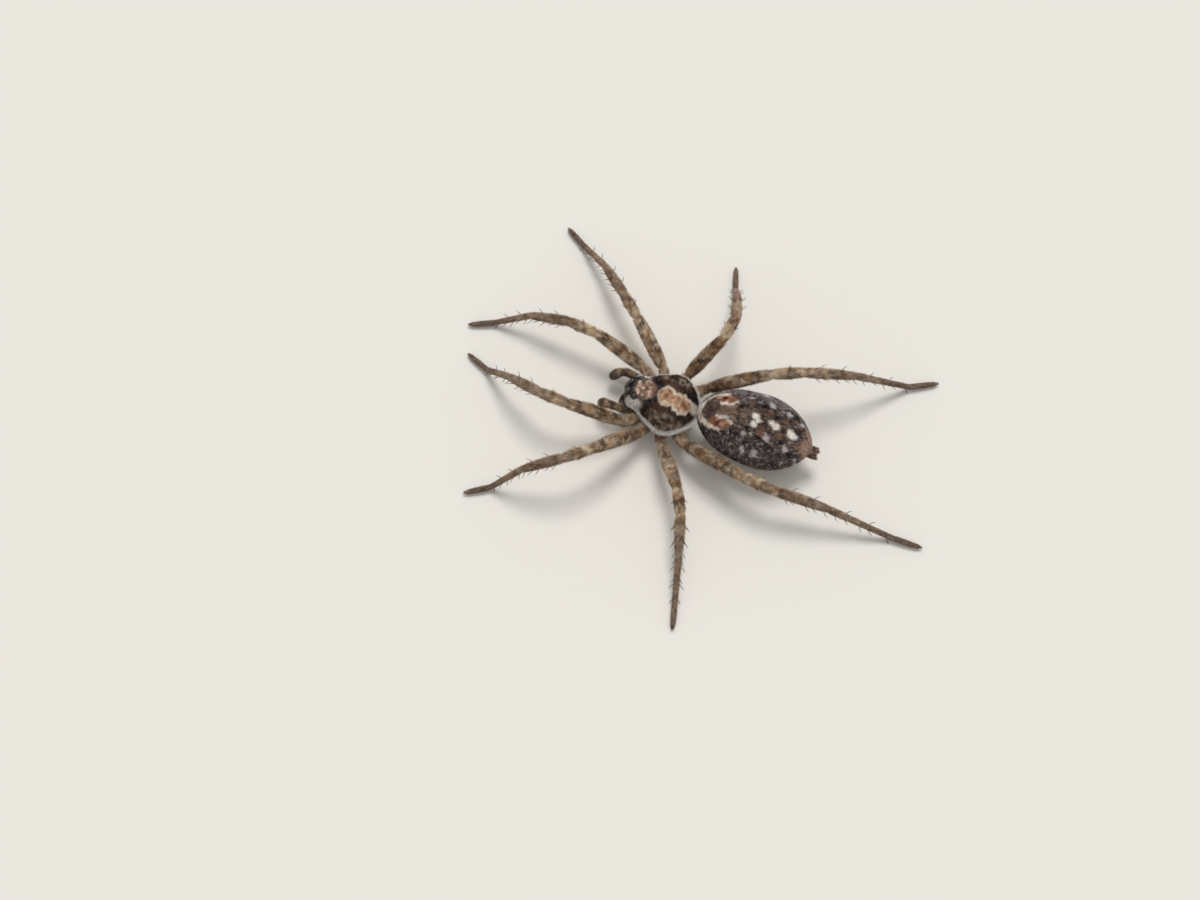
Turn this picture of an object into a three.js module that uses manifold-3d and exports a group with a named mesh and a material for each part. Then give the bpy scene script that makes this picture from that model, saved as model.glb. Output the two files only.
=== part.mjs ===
// A wolf spider of the sand-dwelling genus Arctosa, life size, standing still on its eight feet.
//
// Millimetres. The head points along -Y, the spider's left side is +X and +Z is up. The origin is on
// the floor, under the middle of the spider's box. Each article of the body that has a name of its own
// is one closed mesh, and neighbours keep a thin gap, as the soft skin of a joint does.

import * as THREE from 'three';
import * as BufferGeometryUtils from 'three/addons/utils/BufferGeometryUtils.js';
import Module from 'manifold-3d';

const wasm = await Module();
wasm.setup();

// ---------------------------------------------------------------------------------------------------
// Driving dimensions
// ---------------------------------------------------------------------------------------------------

// The body is laid out with the waist near the middle, and the finished spider is centred at the end.
// Places given as [out, y, z] lie out to either side; the others are [x, y, z].

const GAP = 0.05;
const UP = new THREE.Vector3(0, 0, 1);
const FORWARD = new THREE.Vector3(0, -1, 0);
const SIDES = { left: 1, right: -1 };

// Each form of the trunk has an outline of [share of its length, size] pairs, and its ends say over what
// shares of the length its width, its rise and its drop round off at the nose and at the tail.

// The carapace, the shield over the head and the leg-bearing part of the body.
const CARAPACE_FRONT = -4.8;
const CARAPACE_LENGTH = 4.75;
const CARAPACE_MARGIN = 1.86;
const CARAPACE_HALF_WIDTH = 2.0;
const CARAPACE_RISE = 1.12;
const CARAPACE_DROP = 0.06;
const CARAPACE_ARCH = 0.85;
const HEAD_HALF_WIDTH = 1.08;
const CARAPACE_WIDTHS = [
  [0, HEAD_HALF_WIDTH],
  [0.2, HEAD_HALF_WIDTH * 1.04],
  [0.36, CARAPACE_HALF_WIDTH * 0.76],
  [0.6, CARAPACE_HALF_WIDTH],
  [0.8, CARAPACE_HALF_WIDTH * 0.98],
  [1, CARAPACE_HALF_WIDTH * 0.85],
];
const CARAPACE_HEIGHTS = [
  [0, CARAPACE_RISE * 0.95],
  [0.15, CARAPACE_RISE],
  [0.4, CARAPACE_RISE * 0.97],
  [0.6, CARAPACE_RISE],
  [1, CARAPACE_RISE * 0.85],
];
const CARAPACE_ENDS = { width: [0.13, 0.42], rise: [0.14, 0.5], drop: [0.1, 0.3] };
const CARAPACE_FACETS = [20, 16];

// The narrow waist (pedicel), and the abdomen, which is turned a little to the right about it.
const WAIST = new THREE.Vector3(0, 0.1, 1.86);
const WAIST_LINE = [[0, -0.4, 1.74], [0, 0.8, 1.88]];
const WAIST_RADIUS = 0.25;
const ABDOMEN_TURN = THREE.MathUtils.degToRad(1.3);
const ABDOMEN_START = -0.12;
const ABDOMEN_LENGTH = 7.35;
const ABDOMEN_HALF_WIDTH = 2.42;
const ABDOMEN_RISE = 1.75;
const ABDOMEN_DROP = 1.8;
const ABDOMEN_MID = 2.3;
const ABDOMEN_SAG = 0.42;
const ABDOMEN_ARCH = 0.95;
const ABDOMEN_WIDTHS = [
  [0, ABDOMEN_HALF_WIDTH * 0.84],
  [0.3, ABDOMEN_HALF_WIDTH * 0.94],
  [0.6, ABDOMEN_HALF_WIDTH],
  [0.85, ABDOMEN_HALF_WIDTH * 0.97],
  [1, ABDOMEN_HALF_WIDTH * 0.8],
];
const ABDOMEN_ENDS = { width: [0.36, 0.5], rise: [0.4, 0.62], drop: [0.45, 0.5] };
const ABDOMEN_FACETS = [22, 16];

// The spinnerets: where they grow, from the abdomen's tip, and each pair's spread, length and radius.
const SPINNERET_ROOT = new THREE.Vector3(0, -0.22, -0.42);
const SPINNERET_HUB = 0.4;
const SPINNERET_TAPER = 0.7;
const SPINNERET_PAIRS = [
  { out: 0.15, up: -0.12, radius: 0.2, length: 0.8 },
  { out: 0.08, up: 0.02, radius: 0.13, length: 0.55 },
  { out: 0.14, up: 0.16, radius: 0.17, length: 0.7 },
];

// The breastplate between the leg bases.
const STERNUM_FRONT = -3.46;
const STERNUM_LENGTH = 2.6;
const STERNUM_HALF_WIDTH = 0.98;
const STERNUM_MID = 1.35;
const STERNUM_RISE = 0.42;
const STERNUM_DROP = 0.46;
const STERNUM_ARCH = 0.7;
const STERNUM_WIDTHS = [
  [0, STERNUM_HALF_WIDTH * 0.86],
  [0.35, STERNUM_HALF_WIDTH],
  [0.65, STERNUM_HALF_WIDTH],
  [1, STERNUM_HALF_WIDTH * 0.84],
];
const STERNUM_ENDS = { width: [0.12, 0.25], rise: [0.12, 0.15], drop: [0.15, 0.4] };
const STERNUM_FACETS = [10, 10];

// The lip, the chewing plates beside it, the jaws, the fangs and the palps: each follows a line of places,
// with its half thickness as [share of the line, radius] pairs.
const LIP = { line: [[0, -3.54, 1.2], [0, -3.9, 1.05]], radii: [[0, 0.17], [1, 0.15]], wide: 1.6 };
const CHEWING_PLATE = {
  line: [[0.5, -3.52, 1.3], [0.3, -4.12, 1.0]],
  radii: [[0, 0.2], [0.5, 0.27], [1, 0.18]],
};
const JAW = {
  line: [[0.49, -4.38, 2.1], [0.49, -4.72, 1.2], [0.52, -4.56, 0.45]],
  radii: [[0, 0.38], [0.5, 0.46], [0.8, 0.4], [1, 0.27]],
};
const FANG = {
  line: [[0.62, -4.56, 0.46], [0.48, -4.7, 0.36], [0.1, -4.64, 0.4]],
  radii: [[0, 0.14], [0.5, 0.11], [1, 0.04]],
};
const PALP = {
  line: [[0.86, -3.82, 1.28], [1.12, -4.4, 1.5], [1.24, -5.15, 1.66], [1.16, -5.7, 1.45], [0.96, -6.2, 0.85]],
  radii: [[0, 0.22], [0.25, 0.25], [0.5, 0.24], [0.68, 0.25], [0.88, 0.28], [1, 0.2]],
};

// The eyes: two large ones face forwards over a row of four small ones, and two look up and sideways.
// Each is given by how far it sits from the middle, and by its height over the carapace's margin or by
// its distance behind the carapace's front. The face lies within the front 30% of the carapace.
const FRONT_EYES = [
  { name: 'eye_front_median', out: 0.15, height: 0.36, radius: 0.115 },
  { name: 'eye_front_lateral', out: 0.41, height: 0.33, radius: 0.09 },
  { name: 'eye_rear_median', out: 0.33, height: 0.71, radius: 0.215 },
];
const TOP_EYE = { name: 'eye_rear_lateral', out: 0.63, back: 0.74, radius: 0.185 };
const EYE_SINK = 0.35;
const LARGE_EYE = 0.15;
const FACE_DEPTH = 0.3;

// Legs. Lengths run from the body outwards: hip (coxa), hip ring (trochanter), thigh (femur), knee piece
// (patella), shin (tibia), upper foot (metatarsus) and foot (tarsus). Each base is where the hip leaves
// the breastplate, and hipTurn is the hip's own heading. Headings are in degrees from straight ahead.
const HIP_HEIGHT = 1.36;
const PAIRS = {
  1: { base: [0.95, -3.3], hipTurn: 50, lengths: [1.1, 0.4, 3.8, 1.9, 2.8, 2.7, 1.7] },
  2: { base: [1.05, -2.65], hipTurn: 72, lengths: [1.1, 0.4, 3.8, 1.9, 2.9, 2.8, 1.7] },
  3: { base: [1.05, -1.92], hipTurn: 100, lengths: [1.1, 0.4, 3.4, 1.7, 2.5, 2.9, 1.7] },
  4: { base: [0.95, -1.2], hipTurn: 130, lengths: [1.2, 0.4, 4.4, 2.0, 3.6, 4.5, 1.9] },
};

// The stance: turn is the thigh's heading, bend is how far the shin turns from it, hook is how far the
// upper foot turns on from the shin, and arch is how steeply the thigh climbs before the leg settles.
const STANCE = [
  { side: 'left', pair: 1, turn: 13, bend: -31, hook: -3, arch: 33 },
  { side: 'left', pair: 2, turn: 55, bend: -28, hook: 4, arch: 37 },
  { side: 'left', pair: 3, turn: 127, bend: -19, hook: -2, arch: 15 },
  { side: 'left', pair: 4, turn: 164, bend: 21, hook: -2, arch: 16 },
  { side: 'right', pair: 1, turn: 13, bend: -15, hook: -15, arch: 21 },
  { side: 'right', pair: 2, turn: 43, bend: 0, hook: -7, arch: 16 },
  { side: 'right', pair: 3, turn: 124, bend: -49, hook: -2, arch: 46 },
  { side: 'right', pair: 4, turn: 160, bend: -5, hook: -3, arch: 31 },
];
const TIP_HOOK = 1.5;

// How steeply the articles climb, in degrees or as shares of the arch, and how far each bows upwards.
const HIP_CLIMBS = [0, 12];
const ARCH_SHARES = [1, 0.25, -0.45, -1];
const FOOT_CLIMB = -3;
const FOOT_HEIGHT = 0.195;
const BOWS = [0, 0, 0.12, 0.02, 0.04, 0, 0];

// The outline of each article, as [share of its length, half thickness], up to the next article.
const ARTICLE_OUTLINES = [
  [[0, 0], [0.05, 0.26], [0.25, 0.35], [0.7, 0.41], [0.92, 0.37]],
  [[0, 0.31], [0.5, 0.35], [0.85, 0.31]],
  [[0, 0.27], [0.07, 0.35], [0.28, 0.44], [0.6, 0.43], [0.88, 0.36], [0.96, 0.33]],
  [[0, 0.28], [0.1, 0.33], [0.5, 0.37], [0.88, 0.33]],
  [[0, 0.28], [0.1, 0.32], [0.4, 0.345], [0.9, 0.3]],
  [[0, 0.255], [0.07, 0.28], [0.4, 0.27], [0.95, 0.255]],
  [[0, 0.25], [0.08, 0.26], [0.6, 0.26], [0.86, 0.255], [0.96, 0.18], [1, 0]],
];

// ---------------------------------------------------------------------------------------------------
// Shapes
// ---------------------------------------------------------------------------------------------------

// A point from a list of its three parts, on the left or on the right.
function pointOf([out, y, z], side = SIDES.left) {
  return new THREE.Vector3(out * side, y, z);
}

// A smooth function through a few [place, value] pairs.
function smoothly(pairs) {
  const places = Float32Array.from(pairs, (pair) => pair[0]);
  const values = Float32Array.from(pairs, (pair) => pair[1]);
  const curve = new THREE.CubicInterpolant(places, values, 1);
  return (place) => curve.evaluate(place)[0];
}

// 1 along the middle of a form, falling to 0 over its nose and its tail, each a quarter of an ellipse.
function roundedEnds(share, [nose, tail]) {
  const intoNose = Math.max(0, 1 - share / nose);
  const intoTail = Math.max(0, 1 - (1 - share) / tail);
  return Math.sqrt(Math.max(0, 1 - intoNose ** 2)) * Math.sqrt(Math.max(0, 1 - intoTail ** 2));
}

// The point at a share of a form's length, and at an angle around it whose cosine points left and whose
// sine points up. The cross-section is a superellipse, fuller than an ellipse where arch is under 1.
function formPoint(form, share, cosine, sine) {
  const halfWidth = form.halfWidth(share);
  const halfHeight = sine > 0 ? form.rise(share) : form.drop(share);
  return new THREE.Vector3(
    halfWidth * Math.sign(cosine) * Math.abs(cosine) ** form.arch,
    form.start + form.length * share,
    form.middle(share) + halfHeight * Math.sign(sine) * Math.abs(sine) ** form.arch,
  );
}

// The same form, larger all round by a margin.
function grown(form, margin) {
  return {
    ...form,
    start: form.start - margin,
    length: form.length + 2 * margin,
    halfWidth: (share) => form.halfWidth(share) * (1 + margin / form.halfWidth(0.5)),
    rise: (share) => form.rise(share) * (1 + margin / form.rise(0.5)),
    drop: (share) => form.drop(share) * (1 + margin / form.drop(0.5)),
  };
}

// A body form as a sphere drawn out along Y and given its own widths and heights.
function formGeometry(form) {
  const geometry = new THREE.SphereGeometry(1, ...form.facets);
  const position = geometry.attributes.position;
  for (let index = 0; index < position.count; index += 1) {
    const share = (1 + position.getY(index)) / 2;
    const girth = Math.hypot(position.getX(index), position.getZ(index)) || 1;
    const point = formPoint(form, share, position.getX(index) / girth, position.getZ(index) / girth);
    position.setXYZ(index, point.x, point.y, point.z);
  }
  return geometry;
}

// A closed limb through stations, each a centre, a heading and a half thickness. The first and the last
// have no thickness and close it. It is turned on a lathe, one unit high for each station, and every
// station is then moved to its place.
function limbGeometry(stations, { sides = 8, upright = UP, wide = 1, deep = 1 } = {}) {
  const profile = stations.map(({ radius }, index) => new THREE.Vector2(radius, index));
  const geometry = new THREE.LatheGeometry(profile, sides, Math.PI / sides);
  const position = geometry.attributes.position;
  for (let index = 0; index < position.count; index += 1) {
    const { centre, heading } = stations[Math.round(position.getY(index))];
    const sideways = heading.clone().cross(upright).normalize();
    const upwards = sideways.clone().cross(heading);
    const point = centre.clone();
    point.addScaledVector(sideways, position.getX(index) * wide);
    point.addScaledVector(upwards, position.getZ(index) * deep);
    position.setXYZ(index, point.x, point.y, point.z);
  }
  return geometry;
}

// The places of a round end: how far in from the tip each ring lies, and its radius.
function capPlaces(endRadius) {
  return [0, 50, 90].map(THREE.MathUtils.degToRad).map((angle) => ({
    inset: endRadius * (1 - Math.cos(angle)),
    radius: endRadius * Math.sin(angle),
  }));
}

// The stations of a round-ended limb along a path, its half thickness given at shares of its length.
function stationsAlong(path, radii, steps) {
  const length = path.getLength();
  const radiusAt = smoothly(radii);
  const startRadius = radiusAt(0);
  const endRadius = radiusAt(1);
  const places = capPlaces(startRadius).map(({ inset, radius }) => ({ along: inset, radius }));
  for (let step = 1; step < steps; step += 1) {
    const share = step / steps;
    const along = startRadius + (length - startRadius - endRadius) * share;
    places.push({ along, radius: radiusAt(share) });
  }
  for (const { inset, radius } of capPlaces(endRadius).reverse()) {
    places.push({ along: length - inset, radius });
  }
  return places.map(({ along, radius }) => ({
    centre: path.getPointAt(along / length),
    heading: path.getTangentAt(along / length),
    radius,
  }));
}

// A closed, round-ended rod along a path.
function rodGeometry(path, radii, { steps = 4, ...section } = {}) {
  return limbGeometry(stationsAlong(path, radii, steps), section);
}

function straightPath(places, side) {
  return new THREE.LineCurve3(...places.map((place) => pointOf(place, side)));
}

function smoothPath(places, side) {
  return new THREE.CatmullRomCurve3(places.map((place) => pointOf(place, side)));
}

// Presses what would hang below the floor up to it, which leaves a small flat.
function standOnFloor(geometry) {
  const position = geometry.attributes.position;
  for (let index = 0; index < position.count; index += 1) {
    position.setZ(index, Math.max(0, position.getZ(index)));
  }
  return geometry;
}

// ---------------------------------------------------------------------------------------------------
// Joining and cutting
// ---------------------------------------------------------------------------------------------------

const MERGE_DISTANCE = 1e-5;

// A closed mesh as a solid: its corners are merged, and the triangles that this leaves flat are dropped.
function toSolid(geometry) {
  const bare = geometry.clone();
  bare.deleteAttribute('normal');
  bare.deleteAttribute('uv');
  const merged = BufferGeometryUtils.mergeVertices(bare, MERGE_DISTANCE);
  const triangles = [];
  for (let corner = 0; corner < merged.index.count; corner += 3) {
    const [a, b, c] = [0, 1, 2].map((offset) => merged.index.getX(corner + offset));
    if (a !== b && b !== c && c !== a) {
      triangles.push(a, b, c);
    }
  }
  return new wasm.Manifold(new wasm.Mesh({
    numProp: 3,
    vertProperties: Float32Array.from(merged.attributes.position.array),
    triVerts: Uint32Array.from(triangles),
  }));
}

function toGeometry(solid) {
  const { vertProperties, triVerts } = solid.getMesh();
  const geometry = new THREE.BufferGeometry();
  geometry.setAttribute('position', new THREE.BufferAttribute(vertProperties, 3));
  geometry.setIndex(new THREE.BufferAttribute(triVerts, 1));
  geometry.computeVertexNormals();
  return geometry;
}

function joined(geometries) {
  return toGeometry(geometries.map(toSolid).reduce((whole, part) => whole.add(part)));
}

function without(geometry, cutters) {
  const solid = cutters.map(toSolid).reduce((whole, cutter) => whole.subtract(cutter), toSolid(geometry));
  return toGeometry(solid);
}

// What is left of a solid beyond a plane through a point, less half the gap. A cut that grazes the inside
// of a bend can leave a splinter, so only the largest body is kept.
function beyond(solid, point, heading) {
  const bodies = solid.trimByPlane(heading.toArray(), heading.dot(point) + GAP / 2).decompose();
  return bodies.reduce((largest, body) => (body.volume() > largest.volume() ? body : largest));
}

// ---------------------------------------------------------------------------------------------------
// Finishes
// ---------------------------------------------------------------------------------------------------

function finish(color, roughness) {
  return new THREE.MeshStandardMaterial({ color, roughness, metalness: 0 });
}

const FINISHES = {
  carapace: finish('#4b372b', 0.7),
  abdomen: finish('#3f3836', 0.85),
  underside: finish('#3a302a', 0.7),
  joint: finish('#75655a', 0.7),
  thigh: finish('#6d5d4b', 0.8),
  shin: finish('#5b4d40', 0.8),
  foot: finish('#40372f', 0.8),
  jaw: finish('#4a3023', 0.5),
  claw: finish('#1e1411', 0.3),
  eye: finish('#0b0a0a', 0.08),
};

// The pieces of a leg, each from one joint to another. The hip and its ring are one piece, and so are
// the knee piece and the shin.
const LEG_PIECES = [
  { name: 'coxa', from: 0, to: 2, material: FINISHES.joint },
  { name: 'femur', from: 2, to: 3, material: FINISHES.thigh },
  { name: 'tibia', from: 3, to: 5, material: FINISHES.shin },
  { name: 'metatarsus', from: 5, to: 6, material: FINISHES.foot },
  { name: 'tarsus', from: 6, to: 7, material: FINISHES.foot },
];

function piece(name, geometry, material) {
  const mesh = new THREE.Mesh(geometry, material);
  mesh.name = name;
  return mesh;
}

// ---------------------------------------------------------------------------------------------------
// Head and trunk
// ---------------------------------------------------------------------------------------------------

const carapaceWidth = smoothly(CARAPACE_WIDTHS);
const carapaceHeight = smoothly(CARAPACE_HEIGHTS);
const carapace = {
  start: CARAPACE_FRONT,
  length: CARAPACE_LENGTH,
  arch: CARAPACE_ARCH,
  facets: CARAPACE_FACETS,
  middle: () => CARAPACE_MARGIN,
  halfWidth: (share) => carapaceWidth(share) * roundedEnds(share, CARAPACE_ENDS.width),
  rise: (share) => carapaceHeight(share) * roundedEnds(share, CARAPACE_ENDS.rise),
  drop: (share) => CARAPACE_DROP * roundedEnds(share, CARAPACE_ENDS.drop),
};

// True where a place on the head lies under the carapace: a share of the length back from the face, out
// from the middle, and at a height over the margin.
function isUnderCarapace(share, out, height) {
  const across = (out / carapace.halfWidth(share)) ** (2 / carapace.arch);
  const upwards = (height / carapace.rise(share)) ** (2 / carapace.arch);
  return across + upwards < 1;
}

// How far back along the carapace the face stands at a place on it, as a share of the length. It is
// found by halving the stretch that it lies in, until that is far finer than the gap.
function faceShare(out, height) {
  let outside = 0;
  let inside = FACE_DEPTH;
  while ((inside - outside) * CARAPACE_LENGTH > MERGE_DISTANCE) {
    const middle = (outside + inside) / 2;
    if (isUnderCarapace(middle, out, height)) {
      inside = middle;
    } else {
      outside = middle;
    }
  }
  return inside;
}

// Where each pair of eyes sits: the front ones on the face, and the last pair on the top of the head.
function eyePlaces() {
  const places = FRONT_EYES.map(({ name, out, height, radius }) => ({
    name,
    radius,
    out,
    y: CARAPACE_FRONT + CARAPACE_LENGTH * faceShare(out, height) + radius * EYE_SINK,
    z: CARAPACE_MARGIN + height,
  }));
  const share = TOP_EYE.back / CARAPACE_LENGTH;
  const across = (TOP_EYE.out / carapace.halfWidth(share)) ** (2 / carapace.arch);
  const top = carapace.rise(share) * (1 - across) ** (carapace.arch / 2);
  places.push({
    name: TOP_EYE.name,
    radius: TOP_EYE.radius,
    out: TOP_EYE.out,
    y: CARAPACE_FRONT + TOP_EYE.back,
    z: CARAPACE_MARGIN + top - TOP_EYE.radius * EYE_SINK,
  });
  return places;
}

// An eyeball, with more facets on the large eyes. A larger one of the same shape cuts its socket.
function eyeball(place, side, radius) {
  const segments = place.radius > LARGE_EYE ? 8 : 6;
  const ball = new THREE.SphereGeometry(radius, segments, segments - 2);
  return ball.translate(place.out * side, place.y, place.z);
}

function buildHead() {
  const head = new THREE.Group();
  const sockets = [];
  for (const place of eyePlaces()) {
    for (const [sideName, side] of Object.entries(SIDES)) {
      head.add(piece(`${place.name}_${sideName}`, eyeball(place, side, place.radius), FINISHES.eye));
      sockets.push(eyeball(place, side, place.radius + GAP));
    }
  }
  head.add(piece('carapace', without(formGeometry(carapace), sockets), FINISHES.carapace));
  return head;
}

// The breastplate with the soft body over it, up to the carapace.
function buildSternum() {
  const width = smoothly(STERNUM_WIDTHS);
  const sternum = {
    start: STERNUM_FRONT,
    length: STERNUM_LENGTH,
    arch: STERNUM_ARCH,
    facets: STERNUM_FACETS,
    middle: () => STERNUM_MID,
    halfWidth: (share) => width(share) * roundedEnds(share, STERNUM_ENDS.width),
    rise: (share) => STERNUM_RISE * roundedEnds(share, STERNUM_ENDS.rise),
    drop: (share) => STERNUM_DROP * roundedEnds(share, STERNUM_ENDS.drop),
  };
  return piece('sternum', formGeometry(sternum), FINISHES.underside);
}

// The lip and the two chewing plates beside it, behind the jaws.
function buildMouthparts() {
  const plates = Object.values(SIDES).map((side) => (
    rodGeometry(straightPath(CHEWING_PLATE.line, side), CHEWING_PLATE.radii, { steps: 2, sides: 7 })
  ));
  const lip = rodGeometry(straightPath(LIP.line), LIP.radii, { steps: 1, sides: 7, wide: LIP.wide });
  return piece('mouthparts', joined([...plates, lip]), FINISHES.underside);
}

// A fang, curved inwards under the jaw. The same shape with a margin cuts its seat in the jaw.
function fangGeometry(side, margin) {
  const radii = FANG.radii.map(([share, radius]) => [share, radius + margin]);
  return rodGeometry(smoothPath(FANG.line, side), radii, { sides: 6, steps: 3 });
}

// A jaw (chelicera) hangs close under the carapace, stout at the top, with its fang folded in below.
function buildJaw(sideName, side) {
  const path = new THREE.QuadraticBezierCurve3(...JAW.line.map((place) => pointOf(place, side)));
  const whole = rodGeometry(path, JAW.radii, { upright: FORWARD, steps: 6, sides: 9 });
  const underCarapace = new THREE.Vector3(0, 0, CARAPACE_MARGIN - CARAPACE_DROP - GAP / 2);
  const shaft = toGeometry(beyond(toSolid(whole), underCarapace, UP.clone().negate()));
  const jaw = new THREE.Group();
  jaw.add(piece(`chelicera_${sideName}`, without(shaft, [fangGeometry(side, GAP)]), FINISHES.jaw));
  jaw.add(piece(`fang_${sideName}`, fangGeometry(side, 0), FINISHES.claw));
  return jaw;
}

// A palp, the short feeler beside the jaws, carried forwards with its tip held low.
function buildPalp(sideName, side) {
  const palp = rodGeometry(smoothPath(PALP.line, side), PALP.radii, { steps: 10 });
  return piece(`palp_${sideName}`, palp, FINISHES.shin);
}

// ---------------------------------------------------------------------------------------------------
// Abdomen
// ---------------------------------------------------------------------------------------------------

// The abdomen is laid out from the waist, and then turned about it. Its middle line sags to the tail.
const abdomenWidth = smoothly(ABDOMEN_WIDTHS);
const abdomen = {
  start: ABDOMEN_START,
  length: ABDOMEN_LENGTH,
  arch: ABDOMEN_ARCH,
  facets: ABDOMEN_FACETS,
  middle: (share) => ABDOMEN_MID - WAIST.z - ABDOMEN_SAG * (share - 0.5),
  halfWidth: (share) => abdomenWidth(share) * roundedEnds(share, ABDOMEN_ENDS.width),
  rise: (share) => ABDOMEN_RISE * roundedEnds(share, ABDOMEN_ENDS.rise),
  drop: (share) => ABDOMEN_DROP * roundedEnds(share, ABDOMEN_ENDS.drop),
};

// One silk-spinning cone, which spreads out and up from where it grows by as much as it stands there.
function spinneretGeometry(root, { out, up, radius, length }, side) {
  const start = root.clone().add(pointOf([out, 0, up], side));
  const end = start.clone().add(pointOf([out, length, up], side));
  const radii = [[0, radius], [1, radius * SPINNERET_TAPER]];
  return rodGeometry(new THREE.LineCurve3(start, end), radii, { sides: 6, steps: 1 });
}

// The six cones under the abdomen's tip, two pairs of large ones round a small pair, on a round hub.
function buildSpinnerets() {
  const root = formPoint(abdomen, 1, 0, 0).add(SPINNERET_ROOT);
  const hub = new THREE.SphereGeometry(SPINNERET_HUB, 8, 6).translate(root.x, root.y, root.z);
  const cones = SPINNERET_PAIRS.flatMap((pair) => (
    Object.values(SIDES).map((side) => spinneretGeometry(root, pair, side))
  ));
  const spinnerets = without(joined([hub, ...cones]), [formGeometry(grown(abdomen, GAP))]);
  return piece('spinnerets', spinnerets, FINISHES.joint);
}

function buildAbdomen() {
  const rear = new THREE.Group();
  rear.position.copy(WAIST);
  rear.rotation.z = ABDOMEN_TURN;
  rear.add(piece('abdomen', formGeometry(abdomen), FINISHES.abdomen));
  rear.add(buildSpinnerets());
  return rear;
}

// The waist between the two halves of the body, cut to fit both.
function buildWaist() {
  const rod = rodGeometry(straightPath(WAIST_LINE), [[0, WAIST_RADIUS], [1, WAIST_RADIUS]]);
  const abdomenCutter = formGeometry(grown(abdomen, GAP))
    .rotateZ(ABDOMEN_TURN)
    .translate(WAIST.x, WAIST.y, WAIST.z);
  const waist = without(rod, [abdomenCutter, formGeometry(grown(carapace, GAP))]);
  return piece('pedicel', waist, FINISHES.joint);
}

// ---------------------------------------------------------------------------------------------------
// Legs
// ---------------------------------------------------------------------------------------------------

// The articles that arch, from the thigh to the upper foot, and those that keep their own climb.
const ARCHED = [2, 3, 4, 5];
const STIFF = [0, 1, 6];

// The eight joint centres of a leg, from its base to the tip of its foot. The arched articles climb by
// shares of the arch, and tip together by the one angle that brings the foot's tip to its height.
function legJoints({ side, pair, turn, bend, hook, arch }) {
  const outward = SIDES[side];
  const { base, hipTurn, lengths } = PAIRS[pair];
  const headings = [
    hipTurn,
    (hipTurn + turn) / 2,
    turn,
    turn + bend / 2,
    turn + bend,
    turn + bend + hook,
    turn + bend + hook * TIP_HOOK,
  ].map(THREE.MathUtils.degToRad);
  const climbs = [...HIP_CLIMBS, ...ARCH_SHARES.map((share) => share * arch), FOOT_CLIMB]
    .map(THREE.MathUtils.degToRad);
  const riseOver = (articles) => articles
    .reduce((sum, index) => sum + lengths[index] * Math.sin(climbs[index]), 0);
  const rise = FOOT_HEIGHT - HIP_HEIGHT - riseOver(STIFF);
  const lift = riseOver(ARCHED);
  const reach = ARCHED.reduce((sum, index) => sum + lengths[index] * Math.cos(climbs[index]), 0);
  const settle = Math.asin(rise / Math.hypot(reach, lift)) - Math.atan2(lift, reach);
  const joints = [new THREE.Vector3(base[0] * outward, base[1], HIP_HEIGHT)];
  lengths.forEach((length, index) => {
    const climb = climbs[index] + (ARCHED.includes(index) ? settle : 0);
    const heading = headings[index];
    joints.push(new THREE.Vector3(
      joints[index].x + length * outward * Math.sin(heading) * Math.cos(climb),
      joints[index].y - length * Math.cos(heading) * Math.cos(climb),
      joints[index].z + length * Math.sin(climb),
    ));
  });
  return joints;
}

// The heading of a leg at a joint: halfway between the articles that meet there.
function headingAt(joints, index) {
  const heading = new THREE.Vector3();
  if (index > 0) {
    heading.add(joints[index].clone().sub(joints[index - 1]).normalize());
  }
  if (index < joints.length - 1) {
    heading.add(joints[index + 1].clone().sub(joints[index]).normalize());
  }
  return heading.normalize();
}

// The stations of a leg's articles from one to another: each article's outline, laid along the line
// between its joints and bowed upwards in a parabola, with both ends closed.
function legStations(joints, first, last) {
  const stations = ARTICLE_OUTLINES.slice(first, last + 1).flatMap((outline, offset) => {
    const index = first + offset;
    const line = new THREE.Line3(joints[index], joints[index + 1]);
    const straight = line.delta(new THREE.Vector3()).normalize();
    return outline.map(([share, radius]) => {
      const bow = BOWS[index] * 4 * share * (1 - share);
      return {
        centre: line.at(share, new THREE.Vector3()).addScaledVector(UP, bow),
        heading: share === 0 ? headingAt(joints, index) : straight,
        radius,
      };
    });
  });
  const inner = { ...stations[0], radius: 0 };
  const outer = { ...stations[stations.length - 1], radius: 0 };
  return [inner, ...stations, outer];
}

// Each piece of a leg is modelled with its neighbours and then parted from them by thin cuts.
function buildLeg(stance) {
  const joints = legJoints(stance);
  const lastArticle = ARTICLE_OUTLINES.length - 1;
  const leg = new THREE.Group();
  for (const { name, from, to, material } of LEG_PIECES) {
    const stations = legStations(joints, Math.max(0, from - 1), Math.min(to, lastArticle));
    let article = toSolid(standOnFloor(limbGeometry(stations)));
    if (from > 0) {
      article = beyond(article, joints[from], headingAt(joints, from));
    }
    if (to <= lastArticle) {
      article = beyond(article, joints[to], headingAt(joints, to).negate());
    }
    leg.add(piece(`${name}_${stance.side}_${stance.pair}`, toGeometry(article), material));
  }
  return leg;
}

// ---------------------------------------------------------------------------------------------------
// The whole spider
// ---------------------------------------------------------------------------------------------------

const spider = new THREE.Group();
spider.add(buildHead(), buildSternum(), buildMouthparts(), buildWaist(), buildAbdomen());
for (const [sideName, side] of Object.entries(SIDES)) {
  spider.add(buildJaw(sideName, side), buildPalp(sideName, side));
}
for (const stance of STANCE) {
  spider.add(buildLeg(stance));
}

spider.updateMatrixWorld(true);
const box = new THREE.Box3().setFromObject(spider, true);
spider.position.set(-(box.min.x + box.max.x) / 2, -(box.min.y + box.max.y) / 2, -box.min.z);

export default spider;
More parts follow.
